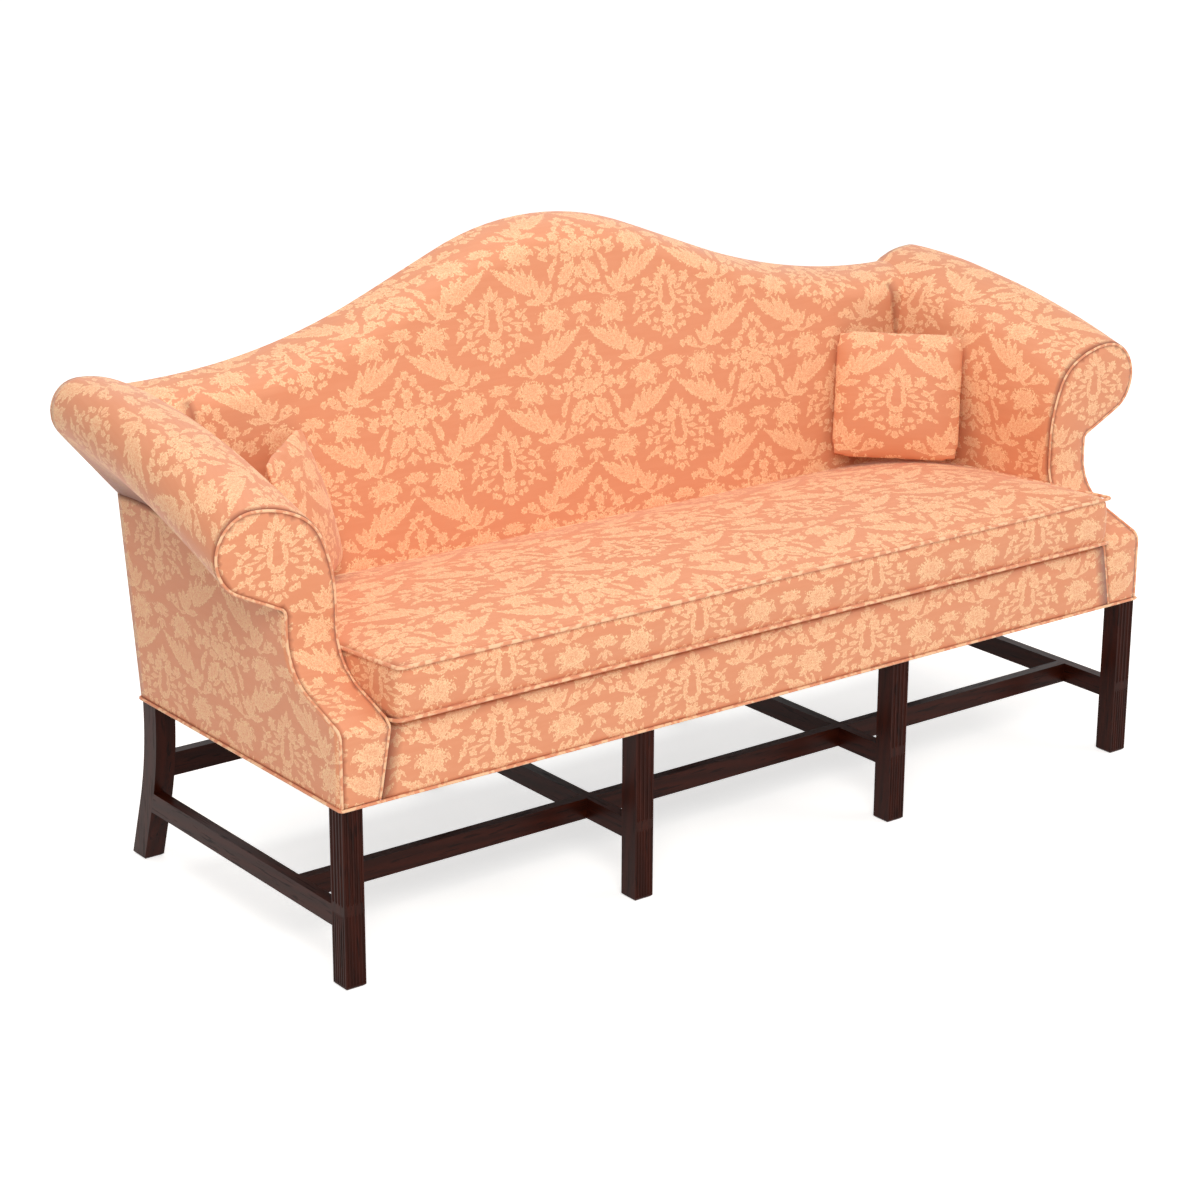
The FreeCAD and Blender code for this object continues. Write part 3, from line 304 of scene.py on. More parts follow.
# A flower: x, z, half width, half height, lobes (0 for a plain berry)
TRELLIS_FLOWERS = (
    (63, 0, 29, 20, 9), (63, 3, 12, 8, 0), (0, 13, 21, 10, 7), (146, -76, 9, 8, 5),
    (161, -80, 6, 6, 0), (135, -86, 5, 5, 0))
ROUND_FLOWERS = (
    (16, 99, 13, 11, 6), (43, 103, 11, 10, 5), (53, 83, 8, 7, 5), (68, 63, 7, 6, 0),
    (64, 75, 5, 5, 0), (50, 60, 6, 6, 0), (50, 44, 8, 7, 5), (62, 39, 6, 5, 0), (44, 33, 5, 5, 0),
    (0, 32, 17, 14, 6), (0, 52, 7, 6, 0), (23, 18, 5, 5, 0), (33, 21, 5, 5, 0), (28, 34, 6, 5, 0))
LEAFY_FLOWERS = (
    (0, 148, 9, 8, 5), (15, 134, 8, 8, 5), (0, 115, 12, 12, 6), (40, 104, 12, 11, 5),
    (69, 77, 11, 10, 5), (45, 79, 13, 11, 5), (23, 82, 8, 8, 0), (0, 77, 21, 15, 8),
    (21, 64, 8, 7, 0), (0, 38, 10, 12, 4), (0, 98, 8, 6, 0), (30, 66, 6, 6, 0))


# %% One leaf and one flower as sums
def leaf_value(tree, place, leaf, lift):
    """Below 1 inside the leaf. place holds x, z and a constant 1 for the shift."""
    x0, z0, x1, z1, wide = leaf
    z0, z1 = z0 + lift, z1 + lift
    length = math.dist((x0, z0), (x1, z1))
    cos, sin = (x1 - x0) / length, (z1 - z0) / length
    mx, mz = (x0 + x1) / 2, (z0 + z1) / 2
    half, narrow = length / 2, wide / 2
    along = vector(tree, "DOT_PRODUCT", place,
                   (cos / half, sin / half, -(mx * cos + mz * sin) / half))
    across = vector(tree, "DOT_PRODUCT", place,
                    (-sin / narrow, cos / narrow, (mx * sin - mz * cos) / narrow))
    return number(tree, "MULTIPLY_ADD", along, along, number(tree, "ABSOLUTE", across))


def flower_value(tree, place, flower, lift):
    x, z, wide, high, lobes = flower
    moved = vector(tree, "SUBTRACT", place, (x, z + lift, 1.0))
    local = vector(tree, "MULTIPLY", moved, (1 / wide, 1 / high, 0.0))
    reach = vector(tree, "LENGTH", local)
    if not lobes:
        return reach
    parts = tree.nodes.new("ShaderNodeSeparateXYZ")
    tree.links.new(local, parts.inputs[0])
    angle = number(tree, "ARCTAN2", parts.outputs[0], parts.outputs[1])
    wave = number(tree, "COSINE", number(tree, "MULTIPLY", angle, float(lobes)))
    return number(tree, "MULTIPLY", reach, number(tree, "MULTIPLY_ADD", wave, 0.17, 1.14))


def nearest(tree, place, leaves, flowers, lift):
    """Smallest value of all shapes, folded together in pairs."""
    values = [leaf_value(tree, place, leaf, lift) for leaf in leaves]
    values += [flower_value(tree, place, flower, lift) for flower in flowers]
    while len(values) > 1:
        pairs = [number(tree, "MINIMUM", a, b) for a, b in zip(values[::2], values[1::2])]
        values = pairs + (values[-1:] if len(values) % 2 else [])
    return values[0]


# %% Folding the cloth into one half repeat
figure_group, ends_in, ends_out = group_with(
    "damask_figure", [("Cloth", "NodeSocketVector")],
    [("Figure", "NodeSocketFloat"), ("Lines", "NodeSocketFloat")])
tree = figure_group
in_mm = vector(tree, "MULTIPLY", ends_in.outputs["Cloth"], (1000.0, 1000.0, 0.0))
ragged = noise_at(tree, in_mm, 0.24)
ragged.node.noise_dimensions = "2D"
split = tree.nodes.new("ShaderNodeSeparateXYZ")
tree.links.new(in_mm, split.inputs[0])
column = number(tree, "PINGPONG", split.outputs[0], HALF_WIDE)
other_column = number(tree, "SUBTRACT", HALF_WIDE, column)


def place_at(across, up):
    node = tree.nodes.new("ShaderNodeCombineXYZ")
    feed(tree, node.inputs[0], across)
    feed(tree, node.inputs[1], up)
    node.inputs[2].default_value = 1.0
    return node.outputs[0]


# Each kind of shape has its own window in height, so that none is cut at the fold
TRELLIS_BOTTOM = 97.0
ROUND_LIFT, ROUND_WINDOW = -185.0, (27.0, -211.0)
LEAFY_LIFT, LEAFY_WINDOW = -202.0, (20.0, -218.0)
up = split.outputs[1]
drop = number(tree, "FLOOR", number(tree, "DIVIDE", number(tree, "ADD", up, TRELLIS_BOTTOM),
                                    HALF_DROP))
odd = number(tree, "PINGPONG", drop, 1.0)
trellis_x = number(tree, "MULTIPLY_ADD", odd, number(tree, "SUBTRACT", other_column, column),
                   column)
trellis_z = number(tree, "SUBTRACT", up, number(tree, "MULTIPLY", drop, HALF_DROP))
round_z = number(tree, "WRAP", up, *ROUND_WINDOW)
leafy_z = number(tree, "WRAP", number(tree, "SUBTRACT", up, HALF_DROP), *LEAFY_WINDOW)
trellis = nearest(tree, place_at(trellis_x, trellis_z), TRELLIS_LEAVES, TRELLIS_FLOWERS, 0.0)
rounds = nearest(tree, place_at(column, round_z), ROUND_LEAVES, ROUND_FLOWERS, ROUND_LIFT)
leafy = nearest(tree, place_at(other_column, leafy_z), LEAFY_LEAVES, LEAFY_FLOWERS,
                LEAFY_LIFT)
close = number(tree, "MINIMUM", number(tree, "MINIMUM", trellis, rounds), leafy)
close = number(tree, "ADD", close, number(tree, "MULTIPLY_ADD", ragged, 1.7, -0.85))
print("shapes of the figure:", len(tree.nodes), "nodes")

# %% Threads of the figure, and the lines drawn inside it
figure = ramp_between(tree, close, 1.06, 0.9)
inner = number(tree, "SUBTRACT", 1.0, number(
    tree, "ABSOLUTE", number(tree, "DIVIDE", number(tree, "SUBTRACT", close, 0.34), 0.12)),
    clamp=True)
outline = ramp_between(tree, close, 0.62, 0.8)
veins = number(tree, "ABSOLUTE", number(tree, "SUBTRACT", ragged, 0.5))
veins = ramp_between(tree, veins, 0.04, 0.012)
lines = number(tree, "MAXIMUM", number(tree, "MAXIMUM", inner, outline), veins)
tree.links.new(figure, ends_out.inputs["Figure"])
tree.links.new(lines, ends_out.inputs["Lines"])
print("damask figure:", len(tree.nodes), "nodes")

# %% [markdown]
# ## Threads
# Close to, the ground of a damask is a fine satin with ribs about a millimetre apart. Two
# crossed waves are enough for its bump. A noise stretched along the thread fades its colour
# a little.

# %% Satin ground
thread_group, ends_in, ends_out = group_with(
    "satin_threads", [("Cloth", "NodeSocketVector"), ("Pitch", "NodeSocketFloat")],
    [("Height", "NodeSocketFloat"), ("Slub", "NodeSocketFloat")])
tree = thread_group
split = tree.nodes.new("ShaderNodeSeparateXYZ")
tree.links.new(ends_in.outputs["Cloth"], split.inputs[0])
turns = number(tree, "DIVIDE", 2 * math.pi, ends_in.outputs["Pitch"])
warp = number(tree, "SINE", number(tree, "MULTIPLY", split.outputs[0], turns))
weft = number(tree, "SINE", number(tree, "MULTIPLY", split.outputs[1], turns))
height = number(tree, "MULTIPLY_ADD", number(tree, "MULTIPLY", warp, weft), 0.5, 0.5)
stretched = vector(tree, "MULTIPLY", ends_in.outputs["Cloth"], (1.0, 9.0, 1.0))
tree.links.new(height, ends_out.inputs["Height"])
tree.links.new(noise_at(tree, stretched, 14.0, 4.0), ends_out.inputs["Slub"])
print("satin threads:", len(tree.nodes), "nodes")

# %% [markdown]
# ## The damask cloth
# The ground is a coral satin, the figure a pale gold thread that is a little rougher. Each
# leaf has a bright outline and bright veins over a darker body. A value on the mesh paints
# shade into the cloth where it dives into a seam, as the red-brown line of shade beside each
# welt of the real sofa.


# %% Making a material
def new_material(name):
    material = bpy.data.materials.new(name)
    material.use_nodes = True
    tree = material.node_tree
    shader = tree.nodes["Principled BSDF"]
    return material, tree, shader


def colour(red, green, blue):
    """Screen colour, 0 to 255, as linear light."""
    linear = [((c / 255 + 0.055) / 1.055) ** 2.4 if c > 10 else c / 255 / 12.92
              for c in (red, green, blue)]
    return (*linear, 1.0)


GROUND = colour(226, 149, 110)
FIGURE = colour(248, 200, 158)
FIGURE_BODY = colour(238, 168, 128)
FADED = colour(255, 206, 172)
FIGURE_LINE = colour(253, 210, 164)
# painted shade: the red-brown that the cloth turns where it dives into a seam
PAINTED_SEAM_SHADE = colour(126, 58, 38)


# %% Damask
def damask(name):
    material, tree, shader = new_material(name)
    cloth = tree.nodes.new("ShaderNodeUVMap")
    cloth.uv_map = "cloth"
    figure = placed_group(tree, figure_group, Cloth=cloth.outputs[0])
    threads = placed_group(tree, thread_group, Cloth=cloth.outputs[0], Pitch=0.0011)
    painted_seam_shade = tree.nodes.new("ShaderNodeAttribute")
    painted_seam_shade.attribute_name = "painted_seam_shade"
    drawn = blend_colours(tree, figure.outputs["Lines"], FIGURE_BODY, FIGURE_LINE)
    woven = blend_colours(tree, figure.outputs["Figure"], GROUND, drawn)
    faded = ramp_between(tree, threads.outputs["Slub"], 0.36, 0.66)
    woven = blend_colours(tree, number(tree, "MULTIPLY", faded, 0.05), woven, FADED)
    # painted shade at the seams, mixed in by the seam-shade value on the mesh
    woven = blend_colours(tree, number(tree, "MULTIPLY", painted_seam_shade.outputs["Fac"], 0.85), woven, PAINTED_SEAM_SHADE)
    feed(tree, shader.inputs["Base Color"], woven)
    feed(tree, shader.inputs["Roughness"],
         number(tree, "MULTIPLY_ADD", figure.outputs["Figure"], 0.10, 0.52))
    raise_surface(tree, shader, threads.outputs["Height"], 0.35, 0.0002)
    shader.inputs["Sheen Weight"].default_value = 0.18
    shader.inputs["Sheen Roughness"].default_value = 0.4
    shader.inputs["Specular IOR Level"].default_value = 0.35
    return material


damask_cloth = damask("coral_damask")


# %% The welt cord's cloth, cut on the bias
def bias_cloth(name):
    material, tree, shader = new_material(name)
    place = object_place(tree)
    threads = placed_group(tree, thread_group, Cloth=place, Pitch=0.0012)
    gold = ramp_between(tree, noise_at(tree, place, 70.0), 0.46, 0.56)
    feed(tree, shader.inputs["Base Color"], blend_colours(tree, gold, GROUND, FIGURE))
    raise_surface(tree, shader, threads.outputs["Height"], 0.4, 0.0002)
    shader.inputs["Roughness"].default_value = 0.6
    shader.inputs["Sheen Weight"].default_value = 0.2
    return material


welt_cloth = bias_cloth("welt_cloth")


# %% [markdown]
# ## Plain cloths and padding
# These are hidden inside the sofa or seen only from below or when the cushion is lifted.
# Each is one short graph with its own threads and fibres.

# %% Linings and padding
def plain_cloth(name, shade, darker, scale, rough):
    material, tree, shader = new_material(name)
    place = object_place(tree)
    fibres = noise_at(tree, place, scale, 6.0)
    threads = placed_group(tree, thread_group, Cloth=place, Pitch=0.0016)
    feed(tree, shader.inputs["Base Color"], blend_colours(tree, fibres, shade, darker))
    raise_surface(tree, shader, threads.outputs["Height"], 0.5, 0.0004)
    shader.inputs["Roughness"].default_value = rough
    return material


deck_cloth = plain_cloth("deck_cloth", colour(226, 196, 170), colour(206, 172, 146), 60.0, 0.85)
dust_cloth = plain_cloth("dust_cloth", colour(34, 32, 31), colour(52, 49, 47), 90.0, 0.9)
cotton = plain_cloth("cotton_padding", colour(232, 226, 212), colour(208, 200, 184), 45.0, 0.95)
jute = plain_cloth("jute", colour(176, 146, 104), colour(142, 112, 74), 120.0, 0.92)

# %% [markdown]
# ## Wood and steel
# Mahogany has long fine grain with short dark pores, and here a dark red-brown stain with a
# soft old polish. The grain runs along each stick, so the pattern is stretched in that
# direction. The hidden frame is a pale hardwood with the same grain, and the springs are
# drawn steel wire.

# %% Grain
grain_group, ends_in, ends_out = group_with(
    "wood_grain", [("Place", "NodeSocketVector"), ("Fine", "NodeSocketFloat")],
    [("Figure", "NodeSocketFloat"), ("Pores", "NodeSocketFloat"), ("Height", "NodeSocketFloat")])
tree = grain_group
place = ends_in.outputs["Place"]
bands = tree.nodes.new("ShaderNodeTexWave")
bands.bands_direction = "DIAGONAL"
bands.inputs["Scale"].default_value = 1.1
bands.inputs["Distortion"].default_value = 5.0
bands.inputs["Detail"].default_value = 3.0
tree.links.new(place, bands.inputs["Vector"])
cloudy = number(tree, "MULTIPLY", noise_at(tree, place, 9.0, 5.0), 0.55)
figure = number(tree, "MULTIPLY_ADD", bands.outputs["Fac"], 0.45, cloudy)
dark = ramp_between(tree, noise_at(tree, place, ends_in.outputs["Fine"]), 0.56, 0.68)
tree.links.new(figure, ends_out.inputs["Figure"])
tree.links.new(dark, ends_out.inputs["Pores"])
tree.links.new(number(tree, "SUBTRACT", figure, dark), ends_out.inputs["Height"])
print("wood grain:", len(tree.nodes), "nodes")


# %% Mahogany and frame wood
def wood(name, along, light, deep, pore, rough, coat):
    material, tree, shader = new_material(name)
    shape = tree.nodes.new("ShaderNodeMapping")
    shape.inputs["Scale"].default_value = [2.4 if axis == along else 26.0 for axis in "xyz"]
    feed(tree, shape.inputs["Vector"], object_place(tree))
    grain = placed_group(tree, grain_group, Place=shape.outputs[0], Fine=9.0)
    pores = grain.outputs["Pores"]
    stained = blend_colours(tree, grain.outputs["Figure"], deep, light)
    stained = blend_colours(tree, number(tree, "MULTIPLY", pores, 0.7), stained, pore)
    feed(tree, shader.inputs["Base Color"], stained)
    feed(tree, shader.inputs["Roughness"], number(tree, "MULTIPLY_ADD", pores, 0.15, rough))
    raise_surface(tree, shader, grain.outputs["Height"], 0.15, 0.0003)
    shader.inputs["Specular IOR Level"].default_value = 0.09
    shader.inputs["Coat Weight"].default_value = coat
    shader.inputs["Coat Roughness"].default_value = 0.22
    return material


mahogany, frame_wood = {}, {}
for axis in "xyz":
    mahogany[axis] = wood("mahogany_" + axis, axis, colour(64, 23, 12), colour(36, 12, 6),
                          colour(16, 7, 5), 0.34, 0.03)
    frame_wood[axis] = wood("frame_wood_" + axis, axis, colour(206, 172, 122),
                            colour(176, 138, 92), colour(120, 88, 56), 0.6, 0.0)

# %% Spring steel
steel, tree, shader = new_material("spring_steel")
drawn_wire = noise_at(tree, object_place(tree), 180.0)
feed(tree, shader.inputs["Base Color"],
     blend_colours(tree, drawn_wire, colour(120, 122, 126), colour(168, 170, 174)))
feed(tree, shader.inputs["Roughness"], number(tree, "MULTIPLY_ADD", drawn_wire, 0.2, 0.25))
shader.inputs["Metallic"].default_value = 0.95
print("materials:", len(bpy.data.materials))

# %% [markdown]
# ## Finishes of the frame itself
# The legs, stretchers and rails are already right in shape. They only get their materials,
# each with the grain along its length.

# %% Materials on the frame's nodes, by the first words that fit a name
FINISHES = (
    (("_leg_",), mahogany["z"]),
    (("side_stretcher", "cross_stretcher"), mahogany["y"]),
    (("stretcher",), mahogany["x"]),
    (("side_seat_rail", "arm_rail", "arm_slats", "seat_braces"), frame_wood["y"]),
    (("seat_rail", "crest_rail", "lower_back_rail"), frame_wood["x"]),
    (("arm_post", "back_uprights", "corner_blocks"), frame_wood["z"]),
    (("seat_springs", "spring_clips"), steel),
    (("back_webbing", "seat_burlap"), jute),
    (("",), cotton))
for name, node in nodes.items():
    finish = next(kind for words, kind in FINISHES if any(word in name for word in words))
    node.data.materials.clear()
    node.data.materials.append(finish)
print("finished nodes:", len(nodes))

# %% [markdown]
# ## Turning rows of points into cloth
# Most coverings are a patch with rows and columns. Each point comes with its place in the
# cloth, so the damask runs true. The back of the patch is closed with a thickness.

# %% Patches
def tidy_mesh(name, points, faces, cloth, painted_seam_shade=None):
    mesh = bpy.data.meshes.new(name)
    mesh.from_pydata([to_metres(point) for point in points], [], faces)
    layer = mesh.uv_layers.new(name="cloth")
    for loop in mesh.loops:
        u, v = cloth[loop.vertex_index]
        layer.data[loop.index].uv = (u / 1000, v / 1000)
    # painted seam shade, kept on the mesh as a value that darkens the damask
    if painted_seam_shade is not None:
        values = mesh.attributes.new("painted_seam_shade", "FLOAT", "POINT")
        values.data.foreach_set("value", [float(value) for value in painted_seam_shade])
    mesh.shade_smooth()
    piece = bpy.data.objects.new(name, mesh)
    bpy.context.scene.collection.objects.link(piece)
    return piece


def grid_faces(rows, start=0):
    """Quads between rows of equal length, whose points are counted from start."""
    width = len(rows[0])
    corners = [start + r * width + c for r in range(len(rows) - 1) for c in range(width - 1)]
    return [(a, a + 1, a + width + 1, a + width) for a in corners]


def patch(name, rows, cloth_rows, painted_shade_rows=None):
    """A piece from rows of equal length."""
    points = [point for row in rows for point in row]
    cloth = [spot for row in cloth_rows for spot in row]
    painted_seam_shade = [value for row in painted_shade_rows for value in row] if painted_shade_rows else None
    return tidy_mesh(name, points, grid_faces(rows), cloth, painted_seam_shade)


def spread(outer, inner, spot):
    """Rows of points, cloth places and painted seam shade, from a function of two marks."""
    made = [[spot(a, b) for b in inner] for a in outer]
    return [[[parts[k] for parts in row] for row in made] for k in range(3)]


def face_outward(piece, way):
    """Turn a patch over if its average normal is against a direction."""
    total = mathutils.Vector()
    for polygon in piece.data.polygons:
        total += polygon.normal * polygon.area
    if total.dot(mathutils.Vector(way)) < 0:
        piece.data.flip_normals()


def close_back(piece, thick):
    """Give a patch its thickness, behind its shown side."""
    wall = piece.modifiers.new("thickness", "SOLIDIFY")
    wall.thickness = thick / 1000
    wall.offset = -1.0
    wall.use_even_offset = True


def subdivide(piece):
    softer = piece.modifiers.new("smooth", "SUBSURF")
    softer.levels = softer.render_levels = 1


def cover(piece, body, material, names):
    """Material, body, slot and the nodes that a piece stands for."""
    piece.data.materials.clear()
    piece.data.materials.append(material)
    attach(piece, body)
    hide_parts(*names)
    print(piece.name, len(piece.data.polygons), "faces")


def mirrored(point):
    return (-point[0], point[1], point[2])


def soften(point, reach, size, seed):
    """Small uneven padding, as a shift along one direction."""
    spot = mathutils.Vector((point[0] / reach + seed, point[1] / reach, point[2] / reach))
    return mathutils.noise.noise(spot) * size


# %% [markdown]
# ## The inside back
# One width of cloth runs from the seat up over the padded crest and down behind it. It is
# a patch whose columns follow the camelback. The padding is fuller in the middle and dips
# at the arms.


# %% Inside back
BACK_FOOT = 372.0
CREST_ROUND = 50.0
CREST_REAR_ROUND = 16.0
FACE_STEPS, ROUND_STEPS = 26, 12


def back_column(x):
    """Points up the face, over the crest and down behind."""
    top = crest(x)
    turn = top - CREST_ROUND
    column = []
    for step in range(FACE_STEPS):
        z = BACK_FOOT + (turn - BACK_FOOT) * step / (FACE_STEPS - 1)
        column.append([x, inside_face(z), z])
    front = inside_face(turn)
    ridge = back_face(top) - CREST_REAR_ROUND
    for step in range(1, ROUND_STEPS + 1):
        angle = math.pi / 2 * step / ROUND_STEPS
        column.append([x, ridge + (front - ridge) * math.cos(angle),
                       turn + CREST_ROUND * math.sin(angle)])
    rear = back_face(top - CREST_REAR_ROUND) - 5.0
    for step in range(1, 5):
        angle = math.pi / 2 * step / 4
        column.append([x, ridge + (rear - ridge) * math.sin(angle),
                       top - CREST_REAR_ROUND * (1 - math.cos(angle))])
    return column


def back_shares():
    """Columns from end to end, closer where the cloth meets the arms."""
    shares = [-832.0, -810.0, -790.0, -770.0, -757.0, -748.0, -738.0, -722.0, -700.0]
    return shares + [float(x) for x in np.linspace(-660, 660, 45)] + [-x for x in shares[::-1]]


rows, cloth_rows, painted_shade_rows = [], [], []
for x in back_shares():
    row, cloth_row, painted_shade_row = [], [], []
    length, last = 0.0, None
    for index, point in enumerate(back_column(x)):
        if last is not None:
            length += math.dist(last, point)
        last = list(point)
        z = point[2]
        near_arm = max(0.0, 1.0 - abs(abs(x) - ARM_INNER) / 34.0) if z < crest(x) - 20 else 0.0
        height = (z - BACK_FOOT) / (crest(x) - BACK_FOOT)
        padding = 2.5 * math.sin(math.pi * min(1.0, max(0.0, height)))
        padding += soften(point, 170.0, 1.6, 3.0)
        if index < FACE_STEPS + ROUND_STEPS:
            point[1] += 7.0 * near_arm ** 2 - padding
        row.append(point)
        cloth_row.append((x + 162.0, length + BACK_FOOT - 706.0))
        # painted shade where the back dives in beside the arms
        painted_shade_row.append(min(1.0, near_arm ** 6 * 1.1))
    rows.append(row)
    cloth_rows.append(cloth_row)
    painted_shade_rows.append(painted_shade_row)
inside_back = patch("inside_back", rows, cloth_rows, painted_shade_rows)
face_outward(inside_back, (0, -1, 0.2))
close_back(inside_back, 2.0)
cover(inside_back, "sofa", damask_cloth, ("inside_back_cover", "back_padding"))

# %% [markdown]
# ## The rolled arms
# The cloth of each arm starts down beside the seat, climbs the inner face, goes over the
# roll and ends in the neck under it. The roll grows higher towards the back. Short pulls
# fan out at the neck, where the cloth is gathered round the scroll.


# %% Arm cover, drawn for the right and mirrored for the left
ARM_FOOT = 368.0
FACE_COLUMNS = 12


def arm_point(u, section):
    """Point at step u along the inner face and the roll."""
    if u < FACE_COLUMNS:
        return (ARM_INNER, ARM_FOOT + (section[0][1] - ARM_FOOT) * u / FACE_COLUMNS)
    return section[u - FACE_COLUMNS]


def arm_rows():
    rows, cloth_rows, painted_shade_rows = [], [], []
    columns = FACE_COLUMNS + len(roll_section(FACING_SET))
    for step in range(49):
        share = step / 48
        row, cloth_row, painted_shade_row = [], [], []
        length, last = 0.0, None
        for u in range(columns):
            y = FACING_SET
            for again in range(4):
                x, z = arm_point(u, roll_section(y))
                start = sweep_y(z) + 1.5
                y = start + (back_face(z) - 6.0 - start) * share
            if last is not None:
                length += math.dist(last, (x, z))
            last = (x, z)
            over = max(0.0, u - FACE_COLUMNS) / (columns - FACE_COLUMNS - 1)
            swell = 1.8 * math.sin(math.pi * min(1.0, over * 1.15)) * math.sin(math.pi * share)
            near_neck = max(0.0, (over - 0.72) / 0.28)
            near_front = max(0.0, 1.0 - share / 0.16)
            pulls = near_neck * near_front * 1.6 * math.sin(share * 150.0)
            swell += pulls + soften((x, y, z), 130.0, 1.4, 7.0)
            if u <= FACE_COLUMNS:
                nx, nz = -1.0, 0.0
            elif u >= columns - 1:
                nx, nz = 0.3, -0.9
            else:
                section = roll_section(y)
                before, after = arm_point(u - 1, section), arm_point(u + 1, section)
                run = math.dist(before, after)
                nx, nz = -(after[1] - before[1]) / run, (after[0] - before[0]) / run
            edge = min(1.0, share * 14.0, (1.0 - share) * 30.0)
            lift = swell * edge if u > 6 else swell * edge * u / 6
            row.append((x + nx * lift, y, z + nz * lift))
            cloth_row.append((y - 149.0, length - 262.0))
            # painted shade along the seam at the front of the arm and at the neck under the roll
            painted_shade_row.append(1.0 if share == 0 or u == columns - 1 else 0.0)
        rows.append(row)
        cloth_rows.append(cloth_row)
        painted_shade_rows.append(painted_shade_row)
    return rows, cloth_rows, painted_shade_rows


def both_sides(name, grid, way, thick, nodes_of):
    """A piece of the right side and its mirror image on the left."""
    rows, cloth_rows, painted_shade_rows = grid
    for side, sign in (("right", 1), ("left", -1)):
        placed = rows if sign > 0 else [[mirrored(point) for point in row] for row in rows]
        piece = patch(name + "_" + side, placed, cloth_rows, painted_shade_rows)
        face_outward(piece, (way[0] * sign, way[1], way[2]))
        close_back(piece, thick)
        cover(piece, "sofa", damask_cloth, [node + "_" + side for node in nodes_of])


both_sides("arm_roll", arm_rows(), (-0.4, 0, 1), 2.0, ("inside_arm_cover", "arm_padding"))

# %% [markdown]
# ## The arm facings
# Each facing is one shaped panel. It fills the scroll in front, narrows at the neck and
# sweeps forward to the corner of the rail. Its outline is filled with even triangles, and
# the panel swells gently between its welts.


# %% Outline of the facing
def facing_outline(inset):
    """Over the scroll, round the neck, down the outer edge, along the foot and up inside."""
    section = roll_section(0.0, inset)
    end, corner = section[-2], section[-1]
    heading = math.atan2(end[1] - corner[1], end[0] - corner[0])
    radius = 9.0 + inset
    setback = radius * math.tan(math.pi / 4 - heading / 2)
    centre = (corner[0] + radius, corner[1] - setback)
    bend = []
    for step in range(7):
        angle = math.pi / 2 + heading + (math.pi / 2 - heading) * step / 6
        bend.append((centre[0] + radius * math.cos(angle), centre[1] + radius * math.sin(angle)))
    side, foot = ARM_OUTER - inset, RAIL_BOTTOM + inset * 0.4
    low = bend[-1][1]
    down = [(side, low + (foot - low) * step / 14) for step in range(1, 15)]
    across = [(side + (FACING_FOOT + inset - side) * step / 6, foot) for step in range(1, 6)]
    up = [(FACING_FOOT + inset + (ARM_INNER - FACING_FOOT) * step / 6,
           foot + (FACING_SEAM_TOP - foot) * step / 6) for step in range(7)]
    rise = [(ARM_INNER + inset, FACING_SEAM_TOP + (section[0][1] - FACING_SEAM_TOP) * step / 8)
            for step in range(1, 8)]
    return section[:-1] + bend + down + across + up + rise


def filled_outline(outline, spacing):
    """Even points inside an outline, and the triangles between them."""
    edges = [(i, (i + 1) % len(outline)) for i in range(len(outline))]
    xs, zs = [p[0] for p in outline], [p[1] for p in outline]
    inner = []
    for i, z in enumerate(np.arange(min(zs), max(zs), spacing * 0.87)):
        for x in np.arange(min(xs) + (i % 2) * spacing / 2, max(xs), spacing):
            if inside_outline(x, z, outline) and edge_distance(x, z, outline) > spacing * 0.6:
                inner.append((float(x), float(z)))
    spots = [mathutils.Vector(p) for p in outline + inner]
    flat = mathutils.geometry.delaunay_2d_cdt(spots, edges, [], 1, 1e-5)
    return [tuple(p) for p in flat[0]], [tuple(face) for face in flat[2]]


def inside_outline(x, z, outline):
    within = False
    for (x0, z0), (x1, z1) in zip(outline, outline[1:] + outline[:1]):
        if (z0 > z) != (z1 > z) and x < x0 + (z - z0) / (z1 - z0) * (x1 - x0):
            within = not within
    return within


def edge_distance(x, z, outline):
    """Shortest way from a spot to the outline."""
    best = 1e9
    for (x0, z0), (x1, z1) in zip(outline, outline[1:] + outline[:1]):
        run, rise = x1 - x0, z1 - z0
        share = ((x - x0) * run + (z - z0) * rise) / max(run * run + rise * rise, 1e-9)
        share = max(0.0, min(1.0, share))
        best = min(best, math.dist((x, z), (x0 + run * share, z0 + rise * share)))
    return best


# %% Facings
outer_ring = facing_outline(3.2)
flat_points, flat_faces = filled_outline(outer_ring, 7.0)
points, cloth, painted_seam_shade = [], [], []
for x, z in flat_points:
    inward = edge_distance(x, z, outer_ring)
    swell = 5.0 * (1 - math.exp(-inward / 14.0))
    points.append((x, sweep_y(z) + 1.2 - swell + soften((x, 0, z), 60.0, 0.9, 5.0), z))
    cloth.append((x - 853.0, sweep_length(z) - sweep_length(652.0) - 113.0))
    # painted shade within 3 mm of the edge, along the welt round the facing
    painted_seam_shade.append(max(0.0, 1.0 - inward / 3.0))
for side, sign in (("right", 1), ("left", -1)):
    placed = points if sign > 0 else [mirrored(point) for point in points]
    facing = tidy_mesh("arm_facing_panel_" + side, placed, flat_faces, cloth, painted_seam_shade)
    face_outward(facing, (0, -1, 0))
    close_back(facing, 3.0)
    cover(facing, "sofa", damask_cloth, ["arm_facing_" + side])


# %% [markdown]
# ## The outside arms, the front band and the outside back
# These panels are stretched flat over the frame. Their edges follow the neck, the sweep,
# the rails and the raked back.

